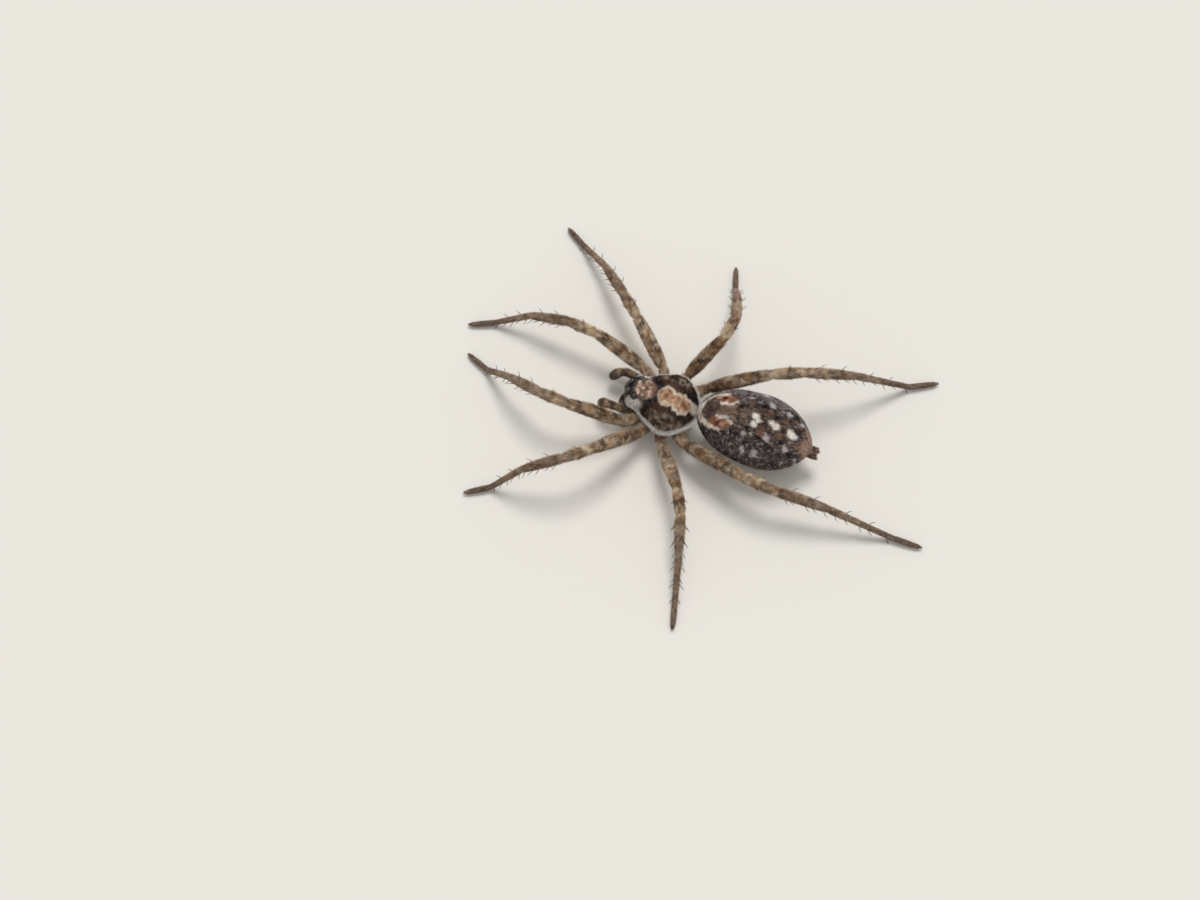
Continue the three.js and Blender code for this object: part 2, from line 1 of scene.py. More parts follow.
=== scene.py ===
"""A wolf spider of the sand-dwelling genus Arctosa, life size, dressed round its CAD solids.

The spider is worked out in millimetres in its own body frame: the head points along -Y, the spider's left
is +X, up is +Z, and y = 0 lies under the waist. The CAD frame has the same axes, so every mesh is moved
by one offset and scaled to metres as it is made.
"""

import logging
import math
from collections.abc import Callable, Iterable
from dataclasses import dataclass, field, replace
from enum import Enum
from functools import partial
from itertools import product
from typing import Protocol

import bpy
import numpy as np
from bpy.types import ID, Material, Mesh, Node, NodeSocket, NodeTree, Object
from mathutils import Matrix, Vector


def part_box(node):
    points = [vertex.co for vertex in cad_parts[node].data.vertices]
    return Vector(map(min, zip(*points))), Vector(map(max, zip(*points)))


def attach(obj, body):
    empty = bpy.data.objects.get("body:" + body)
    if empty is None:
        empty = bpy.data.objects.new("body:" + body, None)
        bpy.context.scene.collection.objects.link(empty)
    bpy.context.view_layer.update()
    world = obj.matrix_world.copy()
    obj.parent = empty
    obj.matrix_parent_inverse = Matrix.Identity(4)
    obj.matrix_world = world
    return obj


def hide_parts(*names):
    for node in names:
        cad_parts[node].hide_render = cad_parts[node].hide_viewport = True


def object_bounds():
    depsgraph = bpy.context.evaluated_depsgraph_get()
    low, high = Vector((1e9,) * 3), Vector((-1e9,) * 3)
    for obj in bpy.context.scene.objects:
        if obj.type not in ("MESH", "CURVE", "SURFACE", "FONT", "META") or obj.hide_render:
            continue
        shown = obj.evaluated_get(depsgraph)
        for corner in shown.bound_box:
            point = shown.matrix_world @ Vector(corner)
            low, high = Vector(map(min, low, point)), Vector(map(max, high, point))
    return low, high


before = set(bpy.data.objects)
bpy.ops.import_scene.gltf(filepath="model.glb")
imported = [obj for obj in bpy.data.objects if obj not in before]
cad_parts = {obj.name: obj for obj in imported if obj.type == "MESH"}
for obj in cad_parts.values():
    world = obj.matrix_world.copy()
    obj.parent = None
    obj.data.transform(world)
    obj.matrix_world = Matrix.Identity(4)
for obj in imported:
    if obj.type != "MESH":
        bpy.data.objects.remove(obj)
CAD_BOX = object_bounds()

Array = np.ndarray
Curve = Callable[[Array], Array]
Place = tuple[float, float, float]

MM = 0.001
UP = np.array([0.0, 0.0, 1.0])
LOG = logging.getLogger("wolf_spider")


class Side(Enum):
    """The spider's own left and right, with the sign of x there."""

    LEFT = 1
    RIGHT = -1

    @property
    def word(self) -> str:
        """The side as the CAD nodes' names have it."""
        return self.name.lower()


# ---- Numbers ----


def smoothly(pairs: Iterable[tuple[float, float]], scale: float = 1.0) -> Curve:
    """A smooth function through a few (place, value) pairs.

    Between two places it is the cubic whose slope at each place is that of the line between the places
    before and after it.

    Args:
        pairs: The places in order, each with its value.
        scale: What every value is multiplied by.

    Returns:
        The function, which takes and gives arrays.
    """
    places, values = np.array(list(pairs), float).T
    values = values * scale
    slopes = np.gradient(values, places)
    slopes[1:-1] = (values[2:] - values[:-2]) / (places[2:] - places[:-2])

    def value_at(place: Array) -> Array:
        """The cubic between the two nearest places, in its Hermite form.

        Args:
            place: The places.

        Returns:
            The values there.
        """
        place = np.clip(place, places[0], places[-1])
        low = np.clip(np.searchsorted(places, place, side="right") - 1, 0, len(places) - 2)
        width = places[low + 1] - places[low]
        part = (place - places[low]) / width
        rest = 1 - part
        return (
            values[low] * (1 + 2 * part) * rest**2
            + slopes[low] * width * part * rest**2
            + values[low + 1] * part**2 * (3 - 2 * part)
            - slopes[low + 1] * width * part**2 * rest
        )

    return value_at


def ramp(value: Array, low: float, high: float) -> Array:
    """A smooth step: 0 at low and 1 at high, or the other way round where low is the larger."""
    part = np.clip((value - low) / (high - low), 0, 1)
    return part * part * (3 - 2 * part)


def unit(vectors: Array) -> Array:
    """Each row scaled to a length of 1."""
    return vectors / np.maximum(np.linalg.norm(vectors, axis=-1, keepdims=True), 1e-12)


def noise(points: Array, size: float, seed: int) -> Array:
    """Soft random values from 0 to 1 through space.

    Every corner of a cubic lattice has a random value, and a point blends the eight around it by the
    smooth step of its place between them.

    Args:
        points: The places, in millimetres.
        size: The lattice's spacing, in millimetres.
        seed: Which of the random fields this is.

    Returns:
        One value for each point.
    """
    scaled = points / size + 1000.0
    cell = np.floor(scaled).astype(np.int64)
    part = scaled - cell
    part = part * part * (3 - 2 * part)
    total = np.zeros(len(points))
    for corner in np.ndindex(2, 2, 2):
        x, y, z = (cell + corner).T
        mixed_bits = (x * 73856093 ^ y * 19349663 ^ z * 83492791 ^ seed * 40503) & 0xFFFFFFFF
        mixed_bits = ((mixed_bits ^ (mixed_bits >> 13)) * 1274126177) & 0xFFFFFFFF
        value = ((mixed_bits ^ (mixed_bits >> 16)) & 0xFFFF) / 0xFFFF
        total += value * np.prod(np.where(corner, part, 1 - part), axis=1)
    return total


def running_total(steps: Array) -> Array:
    """0, and then the sum of the steps up to each one."""
    return np.concatenate([[0], np.cumsum(steps)])


def turned(vectors: Array, degrees: float) -> Array:
    """Vectors turned about Z: x cos - y sin, x sin + y cos, and z as it is.

    Args:
        vectors: The vectors, one in each row.
        degrees: How far they turn.

    Returns:
        The turned vectors.
    """
    cosine, sine = math.cos(math.radians(degrees)), math.sin(math.radians(degrees))
    x, y, z = vectors[..., 0], vectors[..., 1], vectors[..., 2]
    return np.stack([x * cosine - y * sine, x * sine + y * cosine, z], axis=-1)


def leftwards(points: Array) -> Array:
    """Points with those of the right half mirrored on to the left one."""
    return np.concatenate([np.abs(points[:, :1]), points[:, 1:]], axis=1)


def squared_to(vectors: Array, axes: Array) -> Array:
    """What is left of each vector once its part along its own unit axis is taken away."""
    return vectors - np.einsum("ij,ij->i", vectors, axes)[:, None] * axes


def bell(distance: Array, width: float) -> Array:
    """A bell curve: 1 at a distance of 0, and 1/e at the width."""
    return np.exp(-((distance / width) ** 2))


def distance_to_line(points: Array, line: Iterable[tuple[float, ...]]) -> Array:
    """How far each point lies from a line through a few places: the least distance to its stretches.

    Args:
        points: The points.
        line: The places that the line joins.

    Returns:
        A distance for each point.
    """
    places = np.array(list(line), float)
    nearest = np.full(len(points), np.inf)
    for start, end in zip(places[:-1], places[1:]):
        stretch = end - start
        share = np.clip((points - start) @ stretch / (stretch @ stretch), 0, 1)
        nearest = np.minimum(nearest, np.linalg.norm(points - start - share[:, None] * stretch, axis=1))
    return nearest


# ---- Colours ----


def linear(code: str) -> Array:
    """The linear red, green and blue of an sRGB hex colour."""
    value = np.array([int(code[place : place + 2], 16) / 255 for place in (1, 3, 5)])
    return np.where(value <= 0.04045, value / 12.92, ((value + 0.055) / 1.055) ** 2.4)


@dataclass
class Paint:
    """Colours at a set of points, laid over each other layer by layer."""

    points: Array
    values: Array

    @classmethod
    def ground(cls, points: Array, code: str) -> "Paint":
        """One colour at every point."""
        return cls(points, np.tile(linear(code), (len(points), 1)))

    def lay(self, code: str, amount: Array) -> "Paint":
        """Blends a colour in, wholly where amount is 1 and not at all where it is 0.

        Args:
            code: The colour.
            amount: An amount for each point.

        Returns:
            The paint itself, for the next layer.
        """
        share = np.clip(amount, 0, 1)[:, None]
        self.values = self.values * (1 - share) + linear(code) * share
        return self

    def cloud(self, size: float, seed: int, low: float, high: float, least: float = 0.0) -> Array:
        """Amounts from a noise over the points: least where it is under low, and 1 where it is over high."""
        return least + (1 - least) * ramp(noise(self.points, size, seed), low, high)

    def mottle(
        self, code: str, amount: float | Array, size: float, seed: int, low: float, high: float
    ) -> "Paint":
        """Blends a colour in by up to an amount, in blotches of a size: the amount times a cloud."""
        return self.lay(code, amount * self.cloud(size, seed, low, high))

    def spots(self, code: str, flat: Array, places: Iterable[Place]) -> "Paint":
        """Blends in soft round spots, each given by its two coordinates on the flat map and its radius.

        Args:
            code: The colour.
            flat: The points' two coordinates.
            places: The spots.

        Returns:
            The paint itself.
        """
        for first, second, radius in places:
            distance = np.hypot(flat[:, 0] - first, flat[:, 1] - second)
            self.lay(code, ramp(distance, radius, SPOT_CORE * radius))
        return self


# The share of a spot's radius that is wholly in its colour.
SPOT_CORE = 0.45


def ragged(flat: Array, points: Array, size: float, seed: int, reach: float) -> Array:
    """A flat map with its places moved by a noise, by up to half the reach, so that edges are ragged."""
    moves = np.stack([noise(points, size, seed), noise(points, size, seed + 1)], axis=-1) - 0.5
    return flat + reach * moves


# ---- Surfaces ----


class Surface(Protocol):
    """A closed surface of two parameters: a share of its length, and a turn about its middle line."""

    def at(self, share: Array, turn: Array) -> Array:
        """The points at shares of the length from 0 to 1, and at turns from 0 to 1."""


def rounded_ends(share: Array, nose: float, tail: float) -> Array:
    """1 along the middle, falling to 0 over the nose and over the tail, each a quarter of an ellipse.

    Args:
        share: Shares of the length.
        nose: The share that the front end takes.
        tail: The share that the rear end takes.

    Returns:
        A factor for each share.
    """
    into_nose = np.clip(1 - share / nose, 0, 1)
    into_tail = np.clip(1 - (1 - share) / tail, 0, 1)
    return np.sqrt(1 - into_nose**2) * np.sqrt(1 - into_tail**2)


@dataclass(frozen=True)
class Form:
    """A body form drawn out along Y, with its own half width, rise and drop at each share of its length.

    Its cross-section is a superellipse, fuller than an ellipse where arch is under 1. The inset is how
    far the surface lies inside the form's outline.
    """

    front: float
    length: float
    middle: Curve
    half_width: Curve
    rise: Curve
    drop: Curve
    arch: float
    origin: Place = (0.0, 0.0, 0.0)
    yaw_deg: float = 0.0
    inset: float = 0.0

    def at(self, share: Array, turn: Array) -> Array:
        """x = w sgn(c)|c|^a, y = front + length share, z = middle + h sgn(s)|s|^a, of the turn's c and s.

        Args:
            share: Shares of the length, from 0 to 1.
            turn: Turns about the middle line, from 0 to 1.

        Returns:
            The points.
        """
        cosine, sine = np.cos(2 * np.pi * turn), np.sin(2 * np.pi * turn)
        width = np.maximum(self.half_width(share) - self.inset, 0)
        height = np.maximum(np.where(sine > 0, self.rise(share), self.drop(share)) - self.inset, 0)
        local = np.stack(
            [
                width * np.sign(cosine) * np.abs(cosine) ** self.arch,
                self.front + self.length * share + np.zeros_like(turn),
                self.middle(share) + height * np.sign(sine) * np.abs(sine) ** self.arch,
            ],
            axis=-1,
        )
        return self.to_body(local)

    def to_body(self, local: Array) -> Array:
        """Points of the form's own frame in the body frame: turned about Z, then moved to the origin."""
        return turned(local, self.yaw_deg) + np.array(self.origin)

    def to_local(self, points: Array) -> Array:
        """Points of the body frame in the form's own frame."""
        return turned(points - np.array(self.origin), -self.yaw_deg)

    def depth_outside(self, points: Array) -> Array:
        """About how far points lie outside: (superellipse radius - 1) times the smaller half size.

        Args:
            points: The places.

        Returns:
            A distance for each, which is negative inside.
        """
        local = self.to_local(points)
        share = (local[:, 1] - self.front) / self.length
        inside = np.clip(share, 0.002, 0.998)
        width = np.maximum(self.half_width(inside), 1e-3)
        upwards = local[:, 2] - self.middle(inside)
        height = np.maximum(np.where(upwards > 0, self.rise(inside), self.drop(inside)), 1e-3)
        power = 2 / self.arch
        radius = (np.abs(local[:, 0] / width) ** power + np.abs(upwards / height) ** power) ** (1 / power)
        return (radius - 1) * np.minimum(width, height) + np.abs(share - inside) * self.length


@dataclass(frozen=True)
class Limb:
    """A round limb along a line of centres, with a radius at each.

    Around each centre lies a circle that is square to the line there: side and up directions times the
    radius times the cosine and sine of the turn. The ends have no radius, which closes them.
    """

    centres: Array
    radii: Array
    upright: Place = (0.0, 0.0, 1.0)
    wide: float = 1.0
    places: Array = field(init=False)
    headings: Array = field(init=False)

    def __post_init__(self) -> None:
        """Works out how far along each centre lies, and the heading there."""
        steps = np.linalg.norm(np.diff(self.centres, axis=0), axis=1)
        object.__setattr__(self, "places", running_total(steps))
        object.__setattr__(self, "headings", unit(np.gradient(self.centres, self.places, axis=0)))

    @property
    def length(self) -> float:
        """The length of the line of centres."""
        return float(self.places[-1])

    def along(self, values: Array, share: Array) -> Array:
        """Values given at the centres, at shares of the length.

        Args:
            values: One value or vector for each centre.
            share: Shares of the length.

        Returns:
            The values there.
        """
        place = share * self.length
        if values.ndim == 1:
            return np.interp(place, self.places, values)
        return np.stack([np.interp(place, self.places, column) for column in values.T], axis=-1)

    def axes(self, share: Array) -> tuple[Array, Array, Array]:
        """The heading, the side direction and the upward direction at shares of the length.

        Args:
            share: Shares of the length.

        Returns:
            Three arrays of unit vectors.
        """
        heading = unit(self.along(self.headings, share))
        side = unit(np.cross(heading, np.array(self.upright)))
        return heading, side, np.cross(side, heading)

    def at(self, share: Array, turn: Array) -> Array:
        """centre + radius (wide cos side + sin up), with the circle square to the heading.

        Args:
            share: Shares of the length, from 0 to 1.
            turn: Turns about the middle line, from 0 to 1.

        Returns:
            The points.
        """
        _, side, upwards = self.axes(share)
        radius = self.along(self.radii, share)[..., None]
        cosine, sine = np.cos(2 * np.pi * turn)[..., None], np.sin(2 * np.pi * turn)[..., None]
        return self.along(self.centres, share) + radius * (self.wide * cosine * side + sine * upwards)

    def nearest(self, points: Array) -> tuple[Array, Array]:
        """How far points lie outside the limb, and the share of its length that they lie at.

        Args:
            points: The places.

        Returns:
            The distances, which are negative inside, and the shares.
        """
        best = np.full(len(points), np.inf)
        share = np.zeros(len(points))
        for index in range(len(self.centres) - 1):
            start, stretch = self.centres[index], self.centres[index + 1] - self.centres[index]
            part = np.clip((points - start) @ stretch / (stretch @ stretch), 0, 1)
            distance = np.linalg.norm(points - start - part[:, None] * stretch, axis=1)
            distance -= self.radii[index] * (1 - part) + self.radii[index + 1] * part
            closer = distance < best
            best[closer] = distance[closer]
            place = self.places[index] + part * (self.places[index + 1] - self.places[index])
            share[closer] = place[closer] / self.length
        return best, share


def rod(
    line: Iterable[Place],
    radii: Iterable[tuple[float, float]],
    inset: float = 0.0,
    upright: Place = (0.0, 0.0, 1.0),
    wide: float = 1.0,
) -> Limb:
    """A round-ended limb along a smooth line through a few places.

    The line is the smooth function of the share through its places, and each end is half an ellipsoid. A
    rod as long as it is thick is a ball.

    Args:
        line: The places that the line passes through.
        radii: Pairs of a share of the length and the radius there.
        inset: How far the surface lies inside those radii.
        upright: The direction that the cross-sections keep up.
        wide: How much wider than high the cross-sections are.

    Returns:
        The limb.
    """
    places = np.array(list(line), float)
    radius_at = smoothly(radii)
    knots = np.linspace(0, 1, len(places))
    share = (1 - np.cos(np.linspace(0, np.pi, 41))) / 2
    centres = np.stack([smoothly(zip(knots, column))(share) for column in places.T], axis=-1)
    if inset:
        span = np.linalg.norm(np.diff(centres, axis=0), axis=1).sum()
        trimmed = inset / span + (1 - 2 * inset / span) * share
        centres = np.stack([smoothly(zip(knots, column))(trimmed) for column in places.T], axis=-1)
    span = np.linalg.norm(np.diff(centres, axis=0), axis=1).sum()
    radius = np.maximum(radius_at(share) - inset, 0.005)
    ends = rounded_ends(share, min(radius[0] / span, 0.5), min(radius[-1] / span, 0.5))
    return Limb(centres, radius * ends, upright, wide)


def mirrored(line: Iterable[Place], side: Side) -> list[Place]:
    """Places given as (out, y, z), on one side of the spider."""
    return [(out * side.value, y, z) for out, y, z in line]


# ---- Meshes ----


def body_offset() -> Array:
    """Where the body frame's origin lies in the CAD frame, in millimetres, from the carapace's box."""
    low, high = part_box("carapace")
    return np.array([(low.x + high.x) / 2, low.y, 0.0]) / MM - np.array([0.0, CARAPACE_FRONT, 0.0])


def box_in_body(node: str) -> tuple[Array, Array]:
    """The lowest and the highest corner of a CAD node, in millimetres of the body frame."""
    low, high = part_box(node)
    return np.array(low) / MM - body_offset(), np.array(high) / MM - body_offset()


@dataclass
class Shell:
    """Corners in millimetres of the body frame, and triangles between them."""

    corners: Array
    triangles: Array

    @classmethod
    def closed(cls, surface: Surface, rows: int, columns: int) -> "Shell":
        """A surface on a grid of rows along it and columns around it, with one corner at each end.

        Args:
            surface: The surface.
            rows: How many rings of corners it has, closer together towards its ends.
            columns: How many corners each ring has.

        Returns:
            The closed mesh, with its faces outwards.
        """
        share = (1 - np.cos(np.linspace(0, np.pi, rows + 2)[1:-1])) / 2
        turn = np.arange(columns) / columns
        rings = surface.at(np.repeat(share, columns), np.tile(turn, rows))
        ends = surface.at(np.array([0.0, 1.0]), np.zeros(2))
        corners = np.concatenate([rings, ends])
        here = np.arange(rows - 1)[:, None] * columns + np.arange(columns)
        beside = np.arange(rows - 1)[:, None] * columns + (np.arange(columns) + 1) % columns
        quads = np.stack([here, beside, beside + columns, here + columns], axis=-1).reshape(-1, 4)
        first, last = np.arange(columns), (rows - 1) * columns + np.arange(columns)
        nose = np.stack([np.roll(first, -1), first, np.full(columns, rows * columns)], axis=-1)
        tail = np.stack([last, np.roll(last, -1), np.full(columns, rows * columns + 1)], axis=-1)
        triangles = np.concatenate([quads[:, [0, 1, 2]], quads[:, [0, 2, 3]], nose, tail])
        return cls(corners, triangles).outwards()

    def outwards(self) -> "Shell":
        """The same shell with its triangles turned so that it holds a positive volume.

        Returns:
            The shell.
        """
        a, b, c = (self.corners[self.triangles[:, corner]] for corner in range(3))
        if np.einsum("ij,ij->", a - self.corners.mean(0), np.cross(b - a, c - a)) < 0:
            return Shell(self.corners, self.triangles[:, ::-1])
        return self

    @classmethod
    def joined(cls, shells: Iterable["Shell"]) -> "Shell":
        """Several shells as one mesh.

        Args:
            shells: The shells.

        Returns:
            The mesh of them all.
        """
        shells = list(shells)
        starts = np.cumsum([0] + [len(shell.corners) for shell in shells[:-1]])
        corners = np.concatenate([shell.corners for shell in shells])
        triangles = np.concatenate([shell.triangles + start for shell, start in zip(shells, starts)])
        return cls(corners, triangles)

    def to_mesh(self, name: str) -> Mesh:
        """The shell as a Blender mesh, still in millimetres of the body frame.

        Args:
            name: The mesh's name.

        Returns:
            The mesh.
        """
        mesh = bpy.data.meshes.new(name)
        mesh.vertices.add(len(self.corners))
        mesh.vertices.foreach_set("co", self.corners.astype(np.float32).ravel())
        mesh.loops.add(3 * len(self.triangles))
        mesh.loops.foreach_set("vertex_index", self.triangles.astype(np.int32).ravel())
        mesh.polygons.add(len(self.triangles))
        mesh.polygons.foreach_set("loop_start", np.arange(0, 3 * len(self.triangles), 3, dtype=np.int32))
        mesh.update(calc_edges=True)
        return mesh


def corner_values(mesh: Mesh, name: str) -> Array:
    """One of the vectors that a mesh holds for each corner: its place, "co", or its "normal".

    Args:
        mesh: The mesh.
        name: Which vector.

    Returns:
        One row for each corner.
    """
    flat = np.zeros(3 * len(mesh.vertices), np.float32)
    mesh.vertices.foreach_get(name, flat)
    return flat.reshape(-1, 3).astype(float)


def link(name: str, data: ID) -> Object:
    """A new object in the scene that shows a mesh, a lamp or a camera.

    Args:
        name: The object's name.
        data: What it shows.

    Returns:
        The object.
    """
    made = bpy.data.objects.new(name, data)
    bpy.context.scene.collection.objects.link(made)
    return made


def set_corners(mesh: Mesh, corners: Array) -> None:
    """Moves a mesh's corners."""
    mesh.vertices.foreach_set("co", corners.astype(np.float32).ravel())
    mesh.update()


def set_colours(mesh: Mesh, colours: Array) -> None:
    """Stores linear colours at the corners, as the attribute that the materials read.

    Args:
        mesh: The mesh.
        colours: A linear colour for each corner.
    """
    layer = mesh.color_attributes.new("Markings", "FLOAT_COLOR", "POINT")
    rgba = np.concatenate([np.clip(colours, 0, 1), np.ones((len(colours), 1))], axis=1)
    layer.data.foreach_set("color", rgba.astype(np.float32).ravel())


def place_piece(
    mesh: Mesh,
    name: str,
    material: Material,
    nodes: Iterable[str] = (),
    smooth: bool = True,
) -> Object:
    """Brings a mesh from millimetres of the body frame into the scene, as a piece of the spider.

    Args:
        mesh: The mesh.
        name: The piece's name.
        material: Its material.
        nodes: The CAD nodes that it stands for.
        smooth: Whether it is shaded smoothly.

    Returns:
        The object, which rides on the root.
    """
    set_corners(mesh, (corner_values(mesh, "co") + body_offset()) * MM)
    mesh.polygons.foreach_set("use_smooth", np.full(len(mesh.polygons), smooth))
    mesh.materials.clear()
    mesh.materials.append(material)
    mesh.update()
    piece = link(name, mesh)
    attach(piece, "root")
    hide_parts(*nodes)
    LOG.info("%s: %d triangles", name, sum(len(polygon.vertices) - 2 for polygon in mesh.polygons))
    return piece


def remeshed(shell: Shell, voxel: float, name: str) -> Mesh:
    """One closed skin round shells that run into each other, by a voxel remesh, still in millimetres.

    Args:
        shell: The shells, joined.
        voxel: The size of the remesh's cells.
        name: The mesh's name.

    Returns:
        The mesh.
    """
    draft = link(name, shell.to_mesh(name))
    modifier = draft.modifiers.new("Skin", "REMESH")
    modifier.mode = "VOXEL"
    modifier.voxel_size = voxel
    graph = bpy.context.evaluated_depsgraph_get()
    mesh = bpy.data.meshes.new_from_object(draft.evaluated_get(graph))
    bpy.data.objects.remove(draft)
    mesh.name = name
    return mesh


def eased(mesh: Mesh, corners: Array, rounds: int, strength: float) -> Array:
    """Corners moved part of the way to the mean of their neighbours, a few times over.

    Args:
        mesh: The mesh, for its edges.
        corners: The places of its corners.
        rounds: How many times they move.
        strength: The share of the way that they go.

    Returns:
        The new places.
    """
    edges = np.zeros(2 * len(mesh.edges), np.int32)
    mesh.edges.foreach_get("vertices", edges)
    start, end = edges.reshape(-1, 2).T
    count = np.bincount(np.concatenate([start, end]), minlength=len(corners))[:, None]
    for _ in range(rounds):
        total = np.zeros_like(corners)
        for axis, column in enumerate(corners.T):
            total[:, axis] = np.bincount(start, column[end], len(corners))
            total[:, axis] += np.bincount(end, column[start], len(corners))
        corners = corners + strength * (total / np.maximum(count, 1) - corners)
    return corners


# ---- Finishes ----


def add_node(tree: NodeTree, kind: str, inputs: dict | None = None, **settings: object) -> Node:
    """Adds a node with its settings, its input values and its links.

    Args:
        tree: The material's nodes.
        kind: Blender's type name of the node.
        inputs: For each input's name or number, a value, or the socket that is linked to it.
        **settings: The node's own properties.

    Returns:
        The node.
    """
    node = tree.nodes.new(kind)
    for name, value in settings.items():
        setattr(node, name, value)
    for socket, value in (inputs or {}).items():
        if isinstance(value, NodeSocket):
            tree.links.new(value, node.inputs[socket])
        else:
            node.inputs[socket].default_value = value
    return node


def patterned(
    tree: NodeTree, coordinates: NodeSocket, noise_inputs: dict, amount: float
) -> tuple[NodeSocket, NodeSocket]:
    """The colour stored at the corners, made lighter and darker by a fine noise.

    Args:
        tree: The material's nodes.
        coordinates: Where the noise is read.
        noise_inputs: The noise's scale and detail.
        amount: How much lighter or darker it gets, as a share.

    Returns:
        The colour's socket, and the noise's.
    """
    markings = add_node(tree, "ShaderNodeAttribute", attribute_name="Markings").outputs["Color"]
    fleck = add_node(tree, "ShaderNodeTexNoise", {"Vector": coordinates, **noise_inputs}).outputs["Fac"]
    limits = {"From Min": 0.3, "From Max": 0.7, "To Min": 1 - amount, "To Max": 1 + amount}
    strength = add_node(tree, "ShaderNodeMapRange", {"Value": fleck, **limits}).outputs["Result"]
    colour = add_node(tree, "ShaderNodeVectorMath", {0: markings, "Scale": strength}, operation="SCALE")
    return colour.outputs["Vector"], fleck


@dataclass(frozen=True)
class Finish:
    """A finish of the spider or its floor: its roughness, and one shader over patterns at real sizes."""

    name: str
    roughness: float

    def inputs(self, tree: NodeTree, coordinates: NodeSocket) -> dict:
        """The shader's own inputs for this kind of finish."""
        return {}

    def material(self) -> Material:
        """Builds its nodes.

        Returns:
            The material.
        """
        material = bpy.data.materials.new(self.name)
        material.use_nodes = True
        tree = material.node_tree
        tree.nodes.clear()
        coordinates = add_node(tree, "ShaderNodeTexCoord").outputs["Object"]
        inputs = {"Roughness": self.roughness, "IOR": 1.5, **self.inputs(tree, coordinates)}
        shader = add_node(tree, "ShaderNodeBsdfPrincipled", inputs)
        add_node(tree, "ShaderNodeOutputMaterial", {"Surface": shader.outputs["BSDF"]})
        return material


@dataclass(frozen=True)
class Cuticle(Finish):
    """Spider cuticle: thin horn-like chitin, finely grained, with a dull or a waxy shine.

    The colour comes from the markings stored on the mesh, broken up by a fine mottle. The grain and the
    wrinkles are bumps at their real sizes, each a spacing and a depth in millimetres.
    """

    grain: tuple[float, float]
    wrinkle: tuple[float, float]
    mottle: float
    mottle_mm: float
    coat: float = 0.0

    def inputs(self, tree: NodeTree, coordinates: NodeSocket) -> dict:
        """The mottled colour, a shine that changes with the mottle, and the two bumps.

        Args:
            tree: The material's nodes.
            coordinates: Where the patterns are read.

        Returns:
            A value or a socket for each input.
        """
        noise_inputs = {"Scale": 1 / (self.mottle_mm * MM), "Detail": 4.0, "Roughness": 0.6}
        colour, mottle = patterned(tree, coordinates, noise_inputs, self.mottle)
        limits = {"To Min": self.roughness - 0.08, "To Max": self.roughness + 0.12}
        shine = add_node(tree, "ShaderNodeMapRange", {"Value": mottle, **limits})
        (grain_mm, grain_depth), (wrinkle_mm, wrinkle_depth) = self.grain, self.wrinkle
        grain = add_node(tree, "ShaderNodeTexVoronoi", {"Vector": coordinates, "Scale": 1 / (grain_mm * MM)})
        wrinkle = add_node(
            tree, "ShaderNodeTexNoise", {"Vector": coordinates, "Scale": 1 / (wrinkle_mm * MM), "Detail": 3.0}
        )
        relief = {"Height": grain.outputs["Distance"], "Distance": grain_depth * MM, "Strength": 1.0}
        below = add_node(tree, "ShaderNodeBump", relief).outputs["Normal"]
        relief = {"Height": wrinkle.outputs["Fac"], "Distance": wrinkle_depth * MM, "Strength": 1.0}
        bump = add_node(tree, "ShaderNodeBump", {**relief, "Normal": below})
        return {
            "Base Color": colour,
            "Roughness": shine.outputs["Result"],
            "Normal": bump.outputs["Normal"],
            "Coat Weight": self.coat,
            "Coat Roughness": 0.25,
        }


@dataclass(frozen=True)
class HairFinish(Finish):
    """Spider hair: hollow chitin bristles, flattened and fringed, with a silky but mostly dull surface.

    Each hair has its own colour, stored at its corners.
    """

    fleck_mm: float

    def inputs(self, tree: NodeTree, coordinates: NodeSocket) -> dict:
        """The hair's own colour with a faint fleck, and a low shine."""
        colour, _ = patterned(tree, coordinates, {"Scale": 1 / (self.fleck_mm * MM), "Detail": 2.0}, 0.2)
        return {"Base Color": colour, "Specular IOR Level": 0.2}


@dataclass(frozen=True)
class Gloss(Finish):
    """Smooth hard cuticle, as on a fang, a claw, a spine or the clear lens of an eye.

    It is one dark colour with a paler one let in by a soft cloud, and a clear shine on top.
    """

    dark: str
    light: str
    cloud_mm: float
    coat: float

    def inputs(self, tree: NodeTree, coordinates: NodeSocket) -> dict:
        """The clouded colour and the clear shine.

        Args:
            tree: The material's nodes.
            coordinates: Where the patterns are read.

        Returns:
            A value or a socket for each input.
        """
        scale = 1 / (self.cloud_mm * MM)
        cloud = add_node(tree, "ShaderNodeTexNoise", {"Vector": coordinates, "Scale": scale, "Detail": 2.0})
        shades = {"A": (*linear(self.dark), 1.0), "B": (*linear(self.light), 1.0)}
        colour = add_node(
            tree, "ShaderNodeMix", {"Factor": cloud.outputs["Fac"], **shades}, data_type="RGBA"
        )
        return {
            "Base Color": colour.outputs["Result"],
            "Specular IOR Level": 0.15,
            "Coat Weight": self.coat,
            "Coat Roughness": 0.03,
        }


